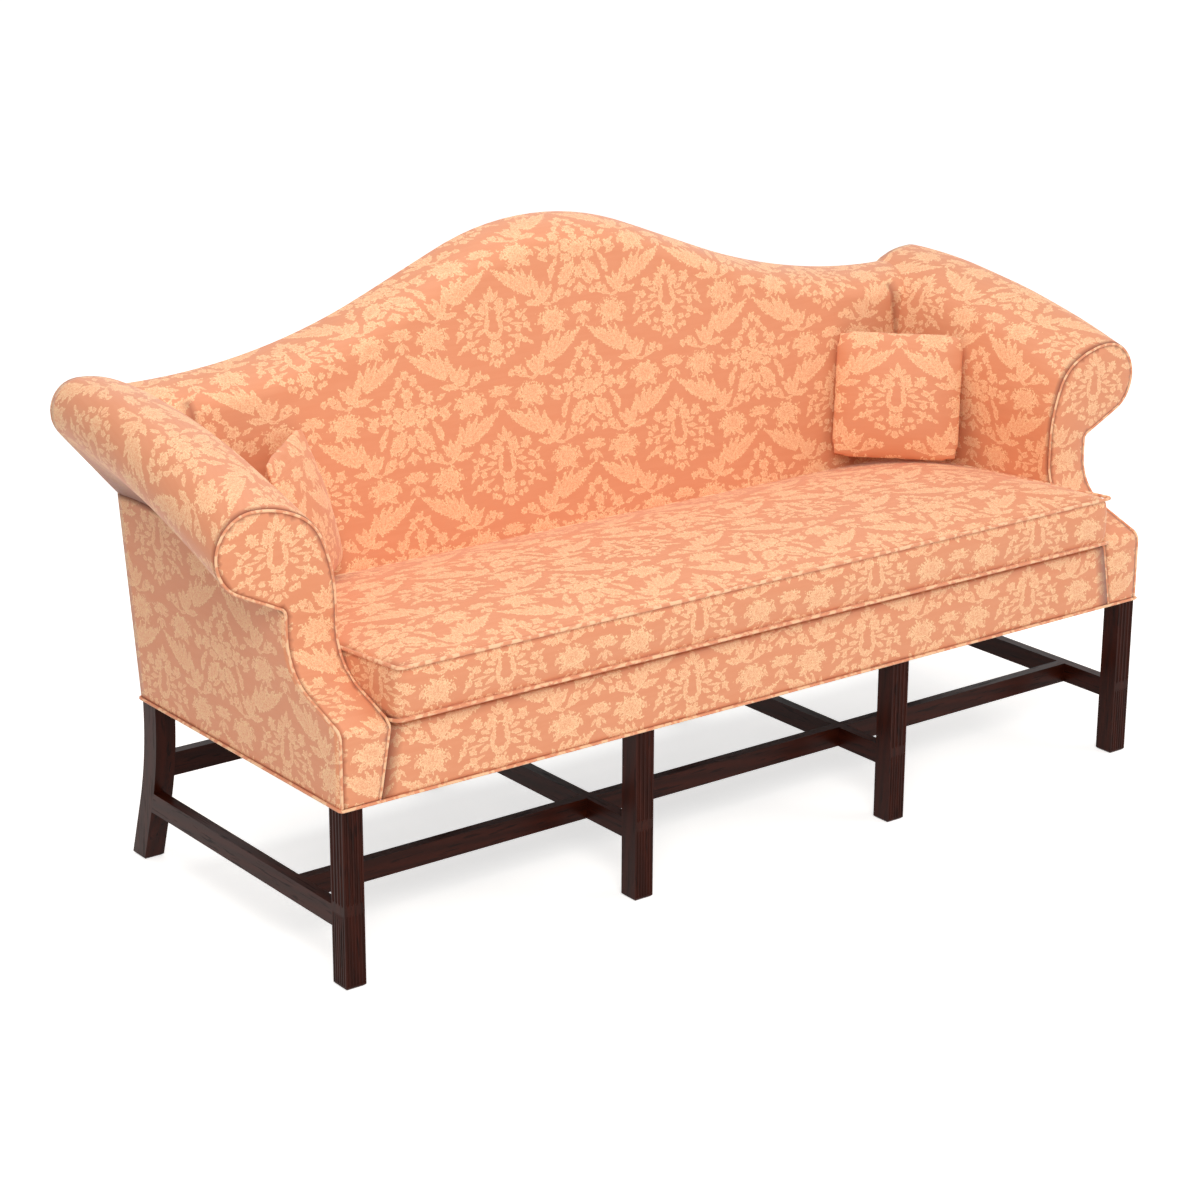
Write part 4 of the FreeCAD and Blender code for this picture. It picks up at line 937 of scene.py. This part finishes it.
# %% Outside arms
def outside_arm_spot(share, level):
    y = 100.0
    for again in range(6):
        top = roll_section(y)[-1][1] - 1.0
        z = RAIL_BOTTOM + 1.0 + (top - RAIL_BOTTOM - 1.0) * level / 30
        start = sweep_y(z) + 3.0
        y = start + (back_face(z) - 1.0 - start) * share
    hollow = math.sin(math.pi * share) * math.sin(math.pi * level / 30)
    x = ARM_OUTER - 0.4 + soften((0, y, z), 150.0, 1.0, 1.0) * hollow - 0.8 * hollow
    if share < 0.2 and level > 20:
        x += 0.9 * math.sin(level * 2.1 + share * 60) * (0.2 - share) / 0.2
    # painted shade on the top row, under the neck of the roll
    return (x, y, z), (y - 149.0, z - 453.0), 1.0 if level == 30 else 0.0


arm_grid = spread([step / 40 for step in range(41)], range(31), outside_arm_spot)
both_sides("outside_arm", arm_grid, (1, 0, 0), 4.0, ("outside_arm_cover",))


# %% Front band
profile = [(-1.6, z) for z in np.linspace(RAIL_BOTTOM + 1.5, 399.0, 12)]
profile += [(2.4 - 4.0 * math.cos(math.radians(a)), 400.4 + 4.0 * math.sin(math.radians(a)))
            for a in (15, 35, 55, 75, 90)] + [(20.0, 403.4), (34.0, 402.4)]


def band_spot(place, share):
    """Spot on the band, with its ends on the slanting seams, painted shade along them and painted
    shadow on its upper edge.
    """
    y, z = place
    seam = FACING_FOOT - 20.0 * min(1.0, (z - RAIL_BOTTOM) / 115.0)
    x = seam * share
    swell = 1.2 * math.sin(math.pi * min(1.0, (z - 290) / 112)) + soften((x, 0, z), 110, 1.0, 2)
    # painted shadow of the cushion's front edge on the top of the band
    shade = 0.45 * max(0.0, min(1.0, (z - 398.0) / 5.0)) if y < 2.0 else 0.0
    return ((x, y - (swell if y < 0 else 0.0), z), (x + 182.0, z - 456.0 + max(0.0, y)),
            1.0 if abs(share) == 1.0 else shade)


rows, cloth_rows, painted_shade_rows = spread(profile, np.linspace(-1.0, 1.0, 61).tolist(), band_spot)
front_band = patch("front_band", rows, cloth_rows, painted_shade_rows)
face_outward(front_band, (0, -1, 0))
close_back(front_band, 3.0)
cover(front_band, "sofa", damask_cloth, ["front_rail_cover"])


# %% Outside back, with the ends of both rolls
def roll_limits(x):
    """Lower and upper height of the roll's rear end at a distance from the middle."""
    section = roll_section(740.0)
    widest = max(range(len(section)), key=lambda i: section[i][0])
    upper = section[:widest + 1]
    lower = section[widest:][::-1]
    high = np.interp(x, [p[0] for p in upper], [p[1] for p in upper])
    low = np.interp(x, [p[0] for p in lower], [p[1] for p in lower])
    return float(low), float(high)


def panel_top(x):
    top = crest(x) - 14.0 if abs(x) < 835.0 else 0.0
    if abs(x) > ARM_INNER + 4:
        top = max(top, roll_limits(abs(x))[1] - 1.5)
    return top


def back_panel_rows(marks, low_of):
    rows, cloth_rows = [], []
    for x in marks:
        low, high = low_of(x), panel_top(x)
        row, cloth_row = [], []
        for step in range(25):
            z = low + (high - low) * step / 24
            inside = math.sin(math.pi * step / 24)
            row.append((x, back_face(z) - 1.2 + soften((x, 0, z), 160.0, 0.8, 9.0) * inside, z))
            cloth_row.append((x + 187.0, z - 560.0))
        rows.append(row)
        cloth_rows.append(cloth_row)
    return rows, cloth_rows


middle_marks = [float(x) for x in np.linspace(-ARM_OUTER + 0.5, ARM_OUTER - 0.5, 71)]
widest = max(point[0] for point in roll_section(740.0)) - 0.6
end_marks = [ARM_OUTER - 0.5 + (widest - ARM_OUTER + 0.5) * math.sin(math.pi / 2 * s / 16)
             for s in range(17)]
panels = [back_panel_rows(middle_marks, lambda x: RAIL_BOTTOM + 1.0)]
for sign in (-1, 1):
    marks = end_marks if sign > 0 else [-x for x in end_marks[::-1]]
    panels.append(back_panel_rows(marks, lambda x: roll_limits(abs(x))[0] + 1.0))
points, cloth, faces = [], [], []
for rows, cloth_rows in panels:
    faces += grid_faces(rows, len(points))
    points += [point for row in rows for point in row]
    cloth += [spot for row in cloth_rows for spot in row]
outside_back = tidy_mesh("outside_back", points, faces, cloth)
face_outward(outside_back, (0, 1, 0))
close_back(outside_back, 4.0)
cover(outside_back, "sofa", damask_cloth, ["outside_back_cover"])

# %% [markdown]
# ## Welts
# A welt is a cord wrapped in a bias strip of the same damask and sewn into a seam. One
# Geometry Nodes tree makes them all: it turns a chain of points into a curve, resamples
# it evenly, and sweeps a circle along it. Its inputs are the cord's radius, the number of
# sides, the spacing and the material.

# %% The welt maker
welt_tree = bpy.data.node_groups.new("welt_maker", "GeometryNodeTree")
for label, kind in (("Chain", "NodeSocketGeometry"), ("Radius", "NodeSocketFloat"),
                    ("Sides", "NodeSocketInt"), ("Spacing", "NodeSocketFloat"),
                    ("Cloth", "NodeSocketMaterial")):
    welt_tree.interface.new_socket(label, in_out="INPUT", socket_type=kind)
welt_tree.interface.new_socket("Welt", in_out="OUTPUT", socket_type="NodeSocketGeometry")
steps = [welt_tree.nodes.new(kind) for kind in (
    "NodeGroupInput", "GeometryNodeMeshToCurve", "GeometryNodeResampleCurve",
    "GeometryNodeCurvePrimitiveCircle", "GeometryNodeCurveToMesh", "GeometryNodeSetShadeSmooth",
    "GeometryNodeRealizeInstances", "GeometryNodeSetMaterial", "NodeGroupOutput")]
given, to_curve, resample, circle, sweep, smooth, realize, dress, result = steps
resample.mode = "LENGTH"
sweep.inputs["Fill Caps"].default_value = True
for source, target in (
        (given.outputs["Chain"], to_curve.inputs["Mesh"]),
        (to_curve.outputs[0], resample.inputs["Curve"]),
        (given.outputs["Spacing"], resample.inputs["Length"]),
        (given.outputs["Sides"], circle.inputs["Resolution"]),
        (given.outputs["Radius"], circle.inputs["Radius"]),
        (resample.outputs[0], sweep.inputs["Curve"]),
        (circle.outputs[0], sweep.inputs["Profile Curve"]),
        (sweep.outputs[0], smooth.inputs["Geometry"]),
        (smooth.outputs[0], realize.inputs["Geometry"]),
        (realize.outputs[0], dress.inputs["Geometry"]),
        (given.outputs["Cloth"], dress.inputs["Material"]),
        (dress.outputs[0], result.inputs["Welt"])):
    welt_tree.links.new(source, target)


def plain_copy(piece):
    """Swap a piece's mesh for what its modifiers make of it, and remove them."""
    bpy.context.view_layer.update()
    ready = piece.evaluated_get(bpy.context.evaluated_depsgraph_get())
    made = bpy.data.meshes.new_from_object(ready)
    piece.modifiers.clear()
    piece.data = made


def welt(name, chains, radius, closed, body, node):
    """Cords along chains of points in millimetres, as one plain mesh."""
    points, edges = [], []
    for chain in chains:
        start = len(points)
        points += [to_metres(point) for point in chain]
        edges += [(start + i, start + i + 1) for i in range(len(chain) - 1)]
        if closed:
            edges.append((len(points) - 1, start))
    mesh = bpy.data.meshes.new(name + "_chain")
    mesh.from_pydata(points, edges, [])
    piece = bpy.data.objects.new(name, mesh)
    bpy.context.scene.collection.objects.link(piece)
    maker = piece.modifiers.new("welt", "NODES")
    maker.node_group = welt_tree
    values = {"Radius": radius / 1000, "Sides": 12, "Spacing": 0.006, "Cloth": welt_cloth}
    for item in welt_tree.interface.items_tree:
        if item.in_out == "INPUT" and item.name in values:
            maker[item.identifier] = values[item.name]
    plain_copy(piece)
    piece.data.name = name
    cover(piece, body, welt_cloth, [node])


# %% Welts of the facings
def facing_chain():
    """Up the outer edge, round the scroll and down the inner edge."""
    outline = facing_outline(WELT)
    neck = len(roll_section(0.0)) - 1 + 7
    outer, inner = outline[neck:neck + 14], outline[neck + 19:]
    return [(x, sweep_y(z) + WELT - 0.6, max(z, RAIL_BOTTOM + 2 * WELT))
            for x, z in outer[::-1] + outline[:neck][::-1] + inner[::-1]]


def dense_side(chain):
    """Extra points where the sweep bends, so that the cord follows it."""
    full = []
    for a, b in zip(chain, chain[1:]):
        parts = max(1, int(abs(b[2] - a[2]) / 7.0))
        for step in range(parts):
            share = step / parts
            z = a[2] + (b[2] - a[2]) * share
            full.append((a[0] + (b[0] - a[0]) * share, sweep_y(z) + WELT - 0.6, z))
    return full + [chain[-1]]


chain = dense_side(facing_chain())
welt("facing_welt_cord_right", [chain], WELT, False, "sofa", "facing_welt_right")
welt("facing_welt_cord_left", [[mirrored(point) for point in chain]], WELT, False, "sofa",
     "facing_welt_left")

# %% Welt along the bottom edge
WELT_HEIGHT = RAIL_BOTTOM + WELT
side_x, front_y, rear_y = ARM_OUTER + WELT - 0.4, -4.2, back_face(295.0) + WELT
ring = [(x, front_y, WELT_HEIGHT) for x in np.linspace(-side_x + 3, side_x - 3, 40)]
ring += [(side_x, y, WELT_HEIGHT) for y in np.linspace(front_y + 3, rear_y - 3, 20)]
ring += [(x, rear_y, WELT_HEIGHT) for x in np.linspace(side_x - 3, -side_x + 3, 40)]
ring += [(-side_x, y, WELT_HEIGHT) for y in np.linspace(rear_y - 3, front_y + 3, 20)]
welt("bottom_welt_cord", [ring], WELT, True, "sofa", "base_welt")

# %% [markdown]
# ## Deck and dust cover
# Under the loose cushion lies a plain deck cloth over the springs and padding, and black
# cambric closes the seat from below.

# %% Deck
def deck_spot(y, x):
    z = deck_top(y) - 0.4 - 0.8 * soften((x, y, 0), 120, 1.0, 4) ** 2
    return (x, y, z), (x, y), 0.0


rows, cloth_rows, _ = spread(np.linspace(6.0, 500.0, 26).tolist(),
                             np.linspace(-749.5, 749.5, 61).tolist(), deck_spot)
deck = patch("seat_deck", rows, cloth_rows)
face_outward(deck, (0, 0, 1))
close_back(deck, 12.0)
cover(deck, "sofa", deck_cloth, ("seat_decking", "seat_pad", "edge_roll"))


# %% Dust cover
DUST_FRONT, DUST_DEPTH, DUST_HALF = 41.0, 515.0, 834.0


def dust_spot(y, x):
    sag = (math.sin(math.pi * (y - DUST_FRONT) / DUST_DEPTH)
           * math.cos(math.pi * x / (2 * DUST_HALF)))
    return (x, y, 291.4 - 0.75 * abs(sag)), (x, y), 0.0


rows, cloth_rows, _ = spread(
    np.linspace(DUST_FRONT, DUST_FRONT + DUST_DEPTH, 22).tolist(),
    np.linspace(-DUST_HALF, DUST_HALF, 55).tolist(), dust_spot)
dust = patch("dust_sheet", rows, cloth_rows)
face_outward(dust, (0, 0, -1))
close_back(dust, 0.6)
cover(dust, "sofa", dust_cloth, ["dust_cover"])

# %% [markdown]
# ## Stuffing
# Cushion and pillows are blown up by a cloth simulation: the form is rebuilt with even
# faces, its seams are held, air pressure swells the rest for twenty frames, and no point
# may move further than a cap. The swollen shape is then kept as a plain mesh.


# %% The simulation
def even_mesh(piece, voxel):
    """Rebuild a closed mesh with even faces."""
    grid = piece.modifiers.new("even", "REMESH")
    grid.mode = "VOXEL"
    grid.voxel_size = voxel
    grid.use_smooth_shade = True
    plain_copy(piece)


def coordinates(mesh):
    values = np.zeros(len(mesh.vertices) * 3)
    mesh.vertices.foreach_get("co", values)
    return values.reshape(-1, 3)


def stuff(piece, held, pressure, cap):
    """Swell the mesh between its held seams. held gives 0 to 1 for each point."""
    start = coordinates(piece.data)
    group = piece.vertex_groups.new(name="seam")
    for index, weight in enumerate(held(start)):
        if weight > 0.01:
            group.add([index], float(weight), "REPLACE")
    cloth = piece.modifiers.new("stuffing", "CLOTH")
    cloth.settings.quality = 4
    cloth.settings.mass = 0.3
    cloth.settings.tension_stiffness = cloth.settings.compression_stiffness = 12.0
    cloth.settings.bending_stiffness = 0.4
    cloth.settings.use_pressure = True
    cloth.settings.uniform_pressure_force = pressure
    cloth.settings.vertex_group_mass = "seam"
    cloth.settings.effector_weights.gravity = 0.0
    cloth.collision_settings.use_collision = False
    for step in range(1, 21):
        bpy.context.scene.frame_set(step)
    ready = piece.evaluated_get(bpy.context.evaluated_depsgraph_get())
    moved = coordinates(bpy.data.meshes.new_from_object(ready)) - start
    piece.modifiers.clear()
    piece.vertex_groups.clear()
    bpy.context.scene.frame_set(1)
    length = np.linalg.norm(moved, axis=1)
    print(piece.name, "swelled by up to", round(float(length.max()) * 1000, 1), "mm")
    scale = np.minimum(1.0, cap / np.maximum(length, 1e-9))
    start = start + moved * scale[:, None]
    piece.data.vertices.foreach_set("co", start.ravel())
    piece.data.update()


# %% [markdown]
# ## The seat cushion
# One long boxed cushion fills the seat between the arms. Its top is crowned, its front
# overhangs the rail a little, and both edges carry a welt.

# %% Outline of the cushion
CUSHION_HALF = 750.2
CUSHION_BOXING = 95.0
CUSHION_GAP = 0.9
CUSHION_MIDDLE = 245.0


def cushion_rear(lift):
    return inside_face(deck_top(512.0) + lift) - 1.2


def cushion_ring(lift, grow):
    """Outline of the cushion at a height above the deck, drawn in or out."""
    front = -18.0 - 2.0 * math.sin(math.pi * lift / CUSHION_BOXING) - grow
    rear = cushion_rear(lift) + grow * 0.2
    half, bend = CUSHION_HALF + grow, 14.0
    ring = []
    for quarter, (x, y, count) in enumerate((
            (half - bend, front + bend, 60), (half - bend, rear - bend, 24),
            (-half + bend, rear - bend, 60), (-half + bend, front + bend, 24))):
        start = ((-x, front), (half, front + bend), (-x, rear), (-half, rear - bend))[quarter]
        finish = ((x, front), (half, y), (x, rear), (-half, y))[quarter]
        for step in range(count):
            share = step / count
            ring.append((start[0] + (finish[0] - start[0]) * share,
                         start[1] + (finish[1] - start[1]) * share))
        for step in range(5):
            angle = math.pi / 2 * (quarter - 1 + step / 5)
            ring.append((x + bend * math.cos(angle), y + bend * math.sin(angle)))
    return ring


def front_rise(y, lift):
    """The lower front edge of the cushion hangs free, a little above the rail."""
    return 8.0 * max(0.0, 1 - (y + 18) / 50.0) * max(0.0, 1 - lift / 70.0)


# %% Form of the cushion
def cushion_crown(x, y):
    across = max(0.0, 1.0 - abs(x / 752.0) ** 6)
    along = max(0.0, 1.0 - ((y - CUSHION_MIDDLE) / 264.0) ** 2)
    return 20.0 * across ** 0.6 * along ** 0.75


def shrunk(ring, share):
    return [(x * share, CUSHION_MIDDLE + (y - CUSHION_MIDDLE) * share) for x, y in ring]


rings = []
for share in (0.02, 0.25, 0.5, 0.75, 0.9, 0.97):
    rings.append([(x, y, deck_top(y) + CUSHION_GAP + front_rise(y, 0))
                  for x, y in shrunk(cushion_ring(0, -2), share)])
for lift, grow in ((1.0, -5.0), (6.0, -4.0), (20.0, -1.5), (40.0, -1.5), (60.0, -1.5),
                   (80.0, -1.5), (90.0, -4.0), (94.0, -5.0)):
    rings.append([(x, y, deck_top(y) + CUSHION_GAP + lift + front_rise(y, lift))
                  for x, y in cushion_ring(lift, grow)])
for share in (0.985, 0.96, 0.92, 0.86, 0.78, 0.66, 0.5, 0.3, 0.1, 0.02):
    rings.append([(x, y, deck_top(y) + CUSHION_BOXING + cushion_crown(x, y))
                  for x, y in shrunk(cushion_ring(94.0, -5.0), share)])
width = len(rings[0])
points = [point for ring in rings for point in ring]
faces = [(r * width + c, r * width + (c + 1) % width, (r + 1) * width + (c + 1) % width,
          (r + 1) * width + c) for r in range(len(rings) - 1) for c in range(width)]
faces += [tuple(range(width))[::-1], tuple((len(rings) - 1) * width + c for c in range(width))]
cushion = tidy_mesh("cushion", points, faces, [(0, 0)] * len(points))


# %% Swelling it, with the seams held
def depth_of(co):
    return co[:, 1] * 1000 + DEPTH_MIDDLE


def lift_of(co):
    """Height of points above the deck, in millimetres."""
    return co[:, 2] * 1000 - deck_top(depth_of(co))


def rim_of(co):
    """Distance of points from the nearest side, in millimetres."""
    y = depth_of(co)
    return np.minimum(ARM_INNER - np.abs(co[:, 0] * 1000), np.minimum(y + 20.0, 512.0 - y))


def cushion_seams(co):
    lift, rim = lift_of(co), rim_of(co)
    near_top = np.clip(1.0 - np.abs(lift - 93.0) / 9.0, 0, 1) * (rim < 16.0)
    near_low = np.clip(1.0 - np.abs(lift - 6.0) / 12.0, 0, 1) * (rim < 16.0)
    base = (lift < 5.0) * 1.0
    return np.clip(np.maximum(np.maximum(near_top, near_low), base) * 1.4, 0, 1)


even_mesh(cushion, 0.011)
stuff(cushion, cushion_seams, 4.0, 0.007)
co = coordinates(cushion.data)
co[:, 0] = np.clip(co[:, 0], -0.7504, 0.7504)
co[:, 2] = np.maximum(co[:, 2], (deck_top(depth_of(co)) + 0.7) / 1000)
rear_limit = inside_face(co[:, 2] * 1000) - 0.9 - DEPTH_MIDDLE
co[:, 1] = np.minimum(co[:, 1], rear_limit / 1000)
cushion.data.vertices.foreach_set("co", co.ravel())
cushion.data.update()
print("cushion:", len(cushion.data.polygons), "faces")

# %% Laying the damask on the cushion
layer = cushion.data.uv_layers.new(name="cloth")
co = coordinates(cushion.data)
lifts, depths = lift_of(co), depth_of(co)
for polygon in cushion.data.polygons:
    middle = np.mean([lifts[i] for i in polygon.vertices])
    normal = polygon.normal
    flat = middle > 90.0 or middle < 4.0 or (normal.z > 0.75 and middle > 60.0)
    for loop in polygon.loop_indices:
        point = cushion.data.loops[loop].vertex_index
        x, z = co[point][0] * 1000, co[point][2] * 1000
        if flat:
            spot = (x + 135.0, depths[point] - 105.0)
        elif abs(normal.x) > abs(normal.y):
            spot = (depths[point] - 40.0, z - 571.0)
        else:
            spot = (x + 182.0, z - 571.0)
        layer.data[loop].uv = (spot[0] / 1000, spot[1] / 1000)
# painted shade in narrow bands beside the cushion's upper and lower welts
painted_welt_shade = np.clip(1.0 - np.abs(np.abs(lifts - 48.0) - 44.5) / 3.5, 0, 1) * (rim_of(co) < 14.0)
values = cushion.data.attributes.new("painted_seam_shade", "FLOAT", "POINT")
values.data.foreach_set("value", painted_welt_shade * 0.7)
subdivide(cushion)
cover(cushion, "seat_cushion", damask_cloth, ("cushion_cover", "cushion_core"))

# %% Welts of the cushion
chains = []
for lift in (3.4, 92.4):
    ring = [(max(-747.6, min(747.6, x)), min(y, cushion_rear(lift) - 2.0))
            for x, y in cushion_ring(lift, 0.2)]
    chains.append([(x, y, deck_top(y) + 0.6 + lift + front_rise(y, lift)) for x, y in ring])
welt("cushion_welt_cords", chains, 3.0, True, "seat_cushion", "cushion_welts")

# %% [markdown]
# ## The throw pillows
# Two small square pillows lean in the corners. Each is two squares sewn edge to edge, so
# it is full in the middle and runs out to thin, slightly wavy edges and soft corners.


# %% Pillow form
PILLOW_HALF = 120.0
PILLOW_THICK = 31.0
PILLOW_DRAW = 5.0


def pillow_thickness(a, b):
    """Half thickness at a spot on the pillow, both from -1 to 1."""
    full = max(0.0, 1 - a * a) ** 0.62 * max(0.0, 1 - b * b) ** 0.62
    return 1.5 + (PILLOW_THICK - 5.0) * full


def pillow_mesh(name):
    """Two crowned squares joined at the rim, with rounded corners and drawn-in sides."""
    count = 27
    marks = [math.sin(math.pi / 2 * (2 * step / (count - 1) - 1)) for step in range(count)]
    points, faces = [], []
    for face in (-1, 1):
        start = len(points)
        for r in range(count):
            for c in range(count):
                a, b = marks[c], marks[r]
                corner = 1.0 - 0.07 * abs(a * b) ** 4
                px = a * corner * (PILLOW_HALF - PILLOW_DRAW * (1 - b * b) * abs(a))
                pz = b * corner * (PILLOW_HALF - PILLOW_DRAW * (1 - a * a) * abs(b))
                points.append((px, face * pillow_thickness(a, b), pz))
        for r in range(count - 1):
            for c in range(count - 1):
                i = start + r * count + c
                quad = (i, i + 1, i + count + 1, i + count)
                faces.append(quad if face < 0 else quad[::-1])
    rim = list(range(count)) + [r * count + count - 1 for r in range(1, count)]
    rim += [(count - 1) * count + c for c in range(count - 2, -1, -1)]
    rim += [r * count for r in range(count - 2, 0, -1)]
    far = count * count
    for a, b in zip(rim, rim[1:] + rim[:1]):
        faces.append((b, a, a + far, b + far))
    mesh = bpy.data.meshes.new(name)
    mesh.from_pydata([(x / 1000, y / 1000, z / 1000) for x, y, z in points], [], faces)
    piece = bpy.data.objects.new(name, mesh)
    bpy.context.scene.collection.objects.link(piece)
    return piece


def pillow_seams(co):
    rim = np.maximum(np.abs(co[:, 0]), np.abs(co[:, 2])) * 1000
    return np.clip((rim - 108.0) / 6.0, 0, 1) * (np.abs(co[:, 1]) < 0.006)


# %% Pillows in their corners
def throw_pillow(side, foot, turn, lean, pattern_shift):
    piece = pillow_mesh("throw_pillow_" + side)
    even_mesh(piece, 0.005)
    stuff(piece, pillow_seams, 4.5, 0.006)
    mesh = piece.data
    co = coordinates(mesh)
    rim = np.clip((np.maximum(np.abs(co[:, 0]), np.abs(co[:, 2])) - 0.085) / 0.03, 0, 1)
    co[:, 1] += np.sin(np.arctan2(co[:, 2], co[:, 0]) * 22.0) * rim * 0.0007
    co[:, 1] = np.clip(co[:, 1], -PILLOW_THICK / 1000, PILLOW_THICK / 1000)
    layer = mesh.uv_layers.new(name="cloth")
    for loop in mesh.loops:
        x, y, z = co[loop.vertex_index]
        layer.data[loop.index].uv = (x + pattern_shift[0] / 1000, z + pattern_shift[1] / 1000)
    place = (mathutils.Matrix.Translation(to_metres(foot))
             @ mathutils.Matrix.Rotation(math.radians(turn), 4, "Z")
             @ mathutils.Matrix.Rotation(math.radians(-lean), 4, "X")
             @ mathutils.Matrix.Translation((0, 0, PILLOW_HALF / 1000)))
    mesh.vertices.foreach_set("co", co.ravel())
    mesh.transform(place)
    mesh.update()
    subdivide(piece)
    cover(piece, "pillow_" + side, damask_cloth,
          ("pillow_cover_" + side, "pillow_filling_" + side))


throw_pillow("right", (627.0, 412.2, 489.65), -46.5, 17.0, (0.0, -107.0))
throw_pillow("left", (-596.0, 413.2, 492.1), 45.0, 17.0, (40.0, -60.0))

# %% [markdown]
# ## Camera, light and floor
# The camera stands where the photographer stood, a little above the crest and to the left.
# The floor and the world show plain white to the camera, while soft lamps and a gentle
# world light the sofa at a plain level.

# %% Camera
CAMERA_PLACE = (-2.9617, -3.4124 - DEPTH_MIDDLE / 1000, 1.9435)
turn, tilt, roll = math.radians(-37.27), math.radians(18.30), math.radians(0.23)
backward = mathutils.Vector((math.sin(turn) * math.cos(tilt), -math.cos(turn) * math.cos(tilt),
                             math.sin(tilt)))
right = (-backward).cross(mathutils.Vector((0, 0, 1))).normalized()
upward = right.cross(-backward)
rolled_right = right * math.cos(roll) + upward * math.sin(roll)
rolled_up = upward * math.cos(roll) - right * math.sin(roll)
lens = bpy.data.cameras.new("camera")
SENSOR, FOCAL_PIXELS, PICTURE_PIXELS = 36.0, 2939.12, 1200
lens.sensor_width, lens.lens = SENSOR, SENSOR * FOCAL_PIXELS / PICTURE_PIXELS
lens.clip_end = 60.0
camera = bpy.data.objects.new("camera", lens)
axes = mathutils.Matrix((rolled_right, rolled_up, backward)).transposed().to_4x4()
camera.matrix_world = mathutils.Matrix.Translation(CAMERA_PLACE) @ axes
bpy.context.scene.collection.objects.link(camera)
bpy.context.scene.camera = camera

# %% World
world = bpy.data.worlds.new("studio")
bpy.context.scene.world = world
world.use_nodes = True
tree = world.node_tree
background = tree.nodes["Background"]
rays = tree.nodes.new("ShaderNodeLightPath")
seen = number(tree, "MAXIMUM", number(tree, "MAXIMUM", rays.outputs["Is Camera Ray"],
                                      rays.outputs["Is Glossy Ray"]),
              rays.outputs["Is Transmission Ray"])
tree.links.new(blend_colours(tree, seen, (1.0, 0.975, 0.94, 1.0), (1, 1, 1, 1)),
               background.inputs["Color"])
tree.links.new(number(tree, "MULTIPLY_ADD", seen, 0.55, 0.45), background.inputs["Strength"])


# %% Lamps
def soft_lamp(name, place, aim, size, power, tint):
    data = bpy.data.lights.new(name, "AREA")
    data.shape, data.size, data.energy, data.color = "SQUARE", size, power, tint
    lamp = bpy.data.objects.new(name, data)
    lamp.location = place
    way = mathutils.Vector(aim) - mathutils.Vector(place)
    lamp.rotation_mode = "QUATERNION"
    lamp.rotation_quaternion = way.to_track_quat("-Z", "Y")
    bpy.context.scene.collection.objects.link(lamp)


soft_lamp("key", (-2.2, -3.2, 3.2), (0, 0, 0.5), 2.2, 96.0, (1.0, 0.96, 0.91))
soft_lamp("fill", (3.2, -2.6, 2.0), (0, 0, 0.5), 2.4, 38.0, (1.0, 0.97, 0.94))
soft_lamp("top", (0.0, 0.4, 3.6), (0, 0, 0.4), 2.6, 42.0, (1.0, 0.98, 0.95))

# %% Floor
floor_material, tree, shader = new_material("floor")
speck = noise_at(tree, object_place(tree), 3.0)
feed(tree, shader.inputs["Base Color"],
     blend_colours(tree, speck, colour(240, 240, 240), colour(246, 246, 246)))
shader.inputs["Roughness"].default_value = 0.9
rays = tree.nodes.new("ShaderNodeLightPath")
white = tree.nodes.new("ShaderNodeEmission")
white.inputs["Strength"].default_value = 0.62
together = tree.nodes.new("ShaderNodeAddShader")
switch = tree.nodes.new("ShaderNodeMixShader")
seen = number(tree, "MAXIMUM", rays.outputs["Is Camera Ray"], rays.outputs["Is Glossy Ray"])
tree.links.new(shader.outputs[0], together.inputs[0])
tree.links.new(white.outputs[0], together.inputs[1])
tree.links.new(seen, switch.inputs["Fac"])
tree.links.new(shader.outputs[0], switch.inputs[1])
tree.links.new(together.outputs[0], switch.inputs[2])
tree.links.new(switch.outputs[0], tree.nodes["Material Output"].inputs["Surface"])
mesh = bpy.data.meshes.new("floor")
corners = [(x, y, 0) for x, y in ((-12, -12), (12, -12), (12, 12), (-12, 12))]
mesh.from_pydata(corners, [], [(0, 1, 2, 3)])
floor = bpy.data.objects.new("floor", mesh)
mesh.materials.append(floor_material)
bpy.context.scene.collection.objects.link(floor)
bpy.context.scene.view_settings.view_transform = "Standard"

# %% [markdown]
# ## The last update
# The view layer is brought up to date once more.

# %% The last update
bpy.context.view_layer.update()
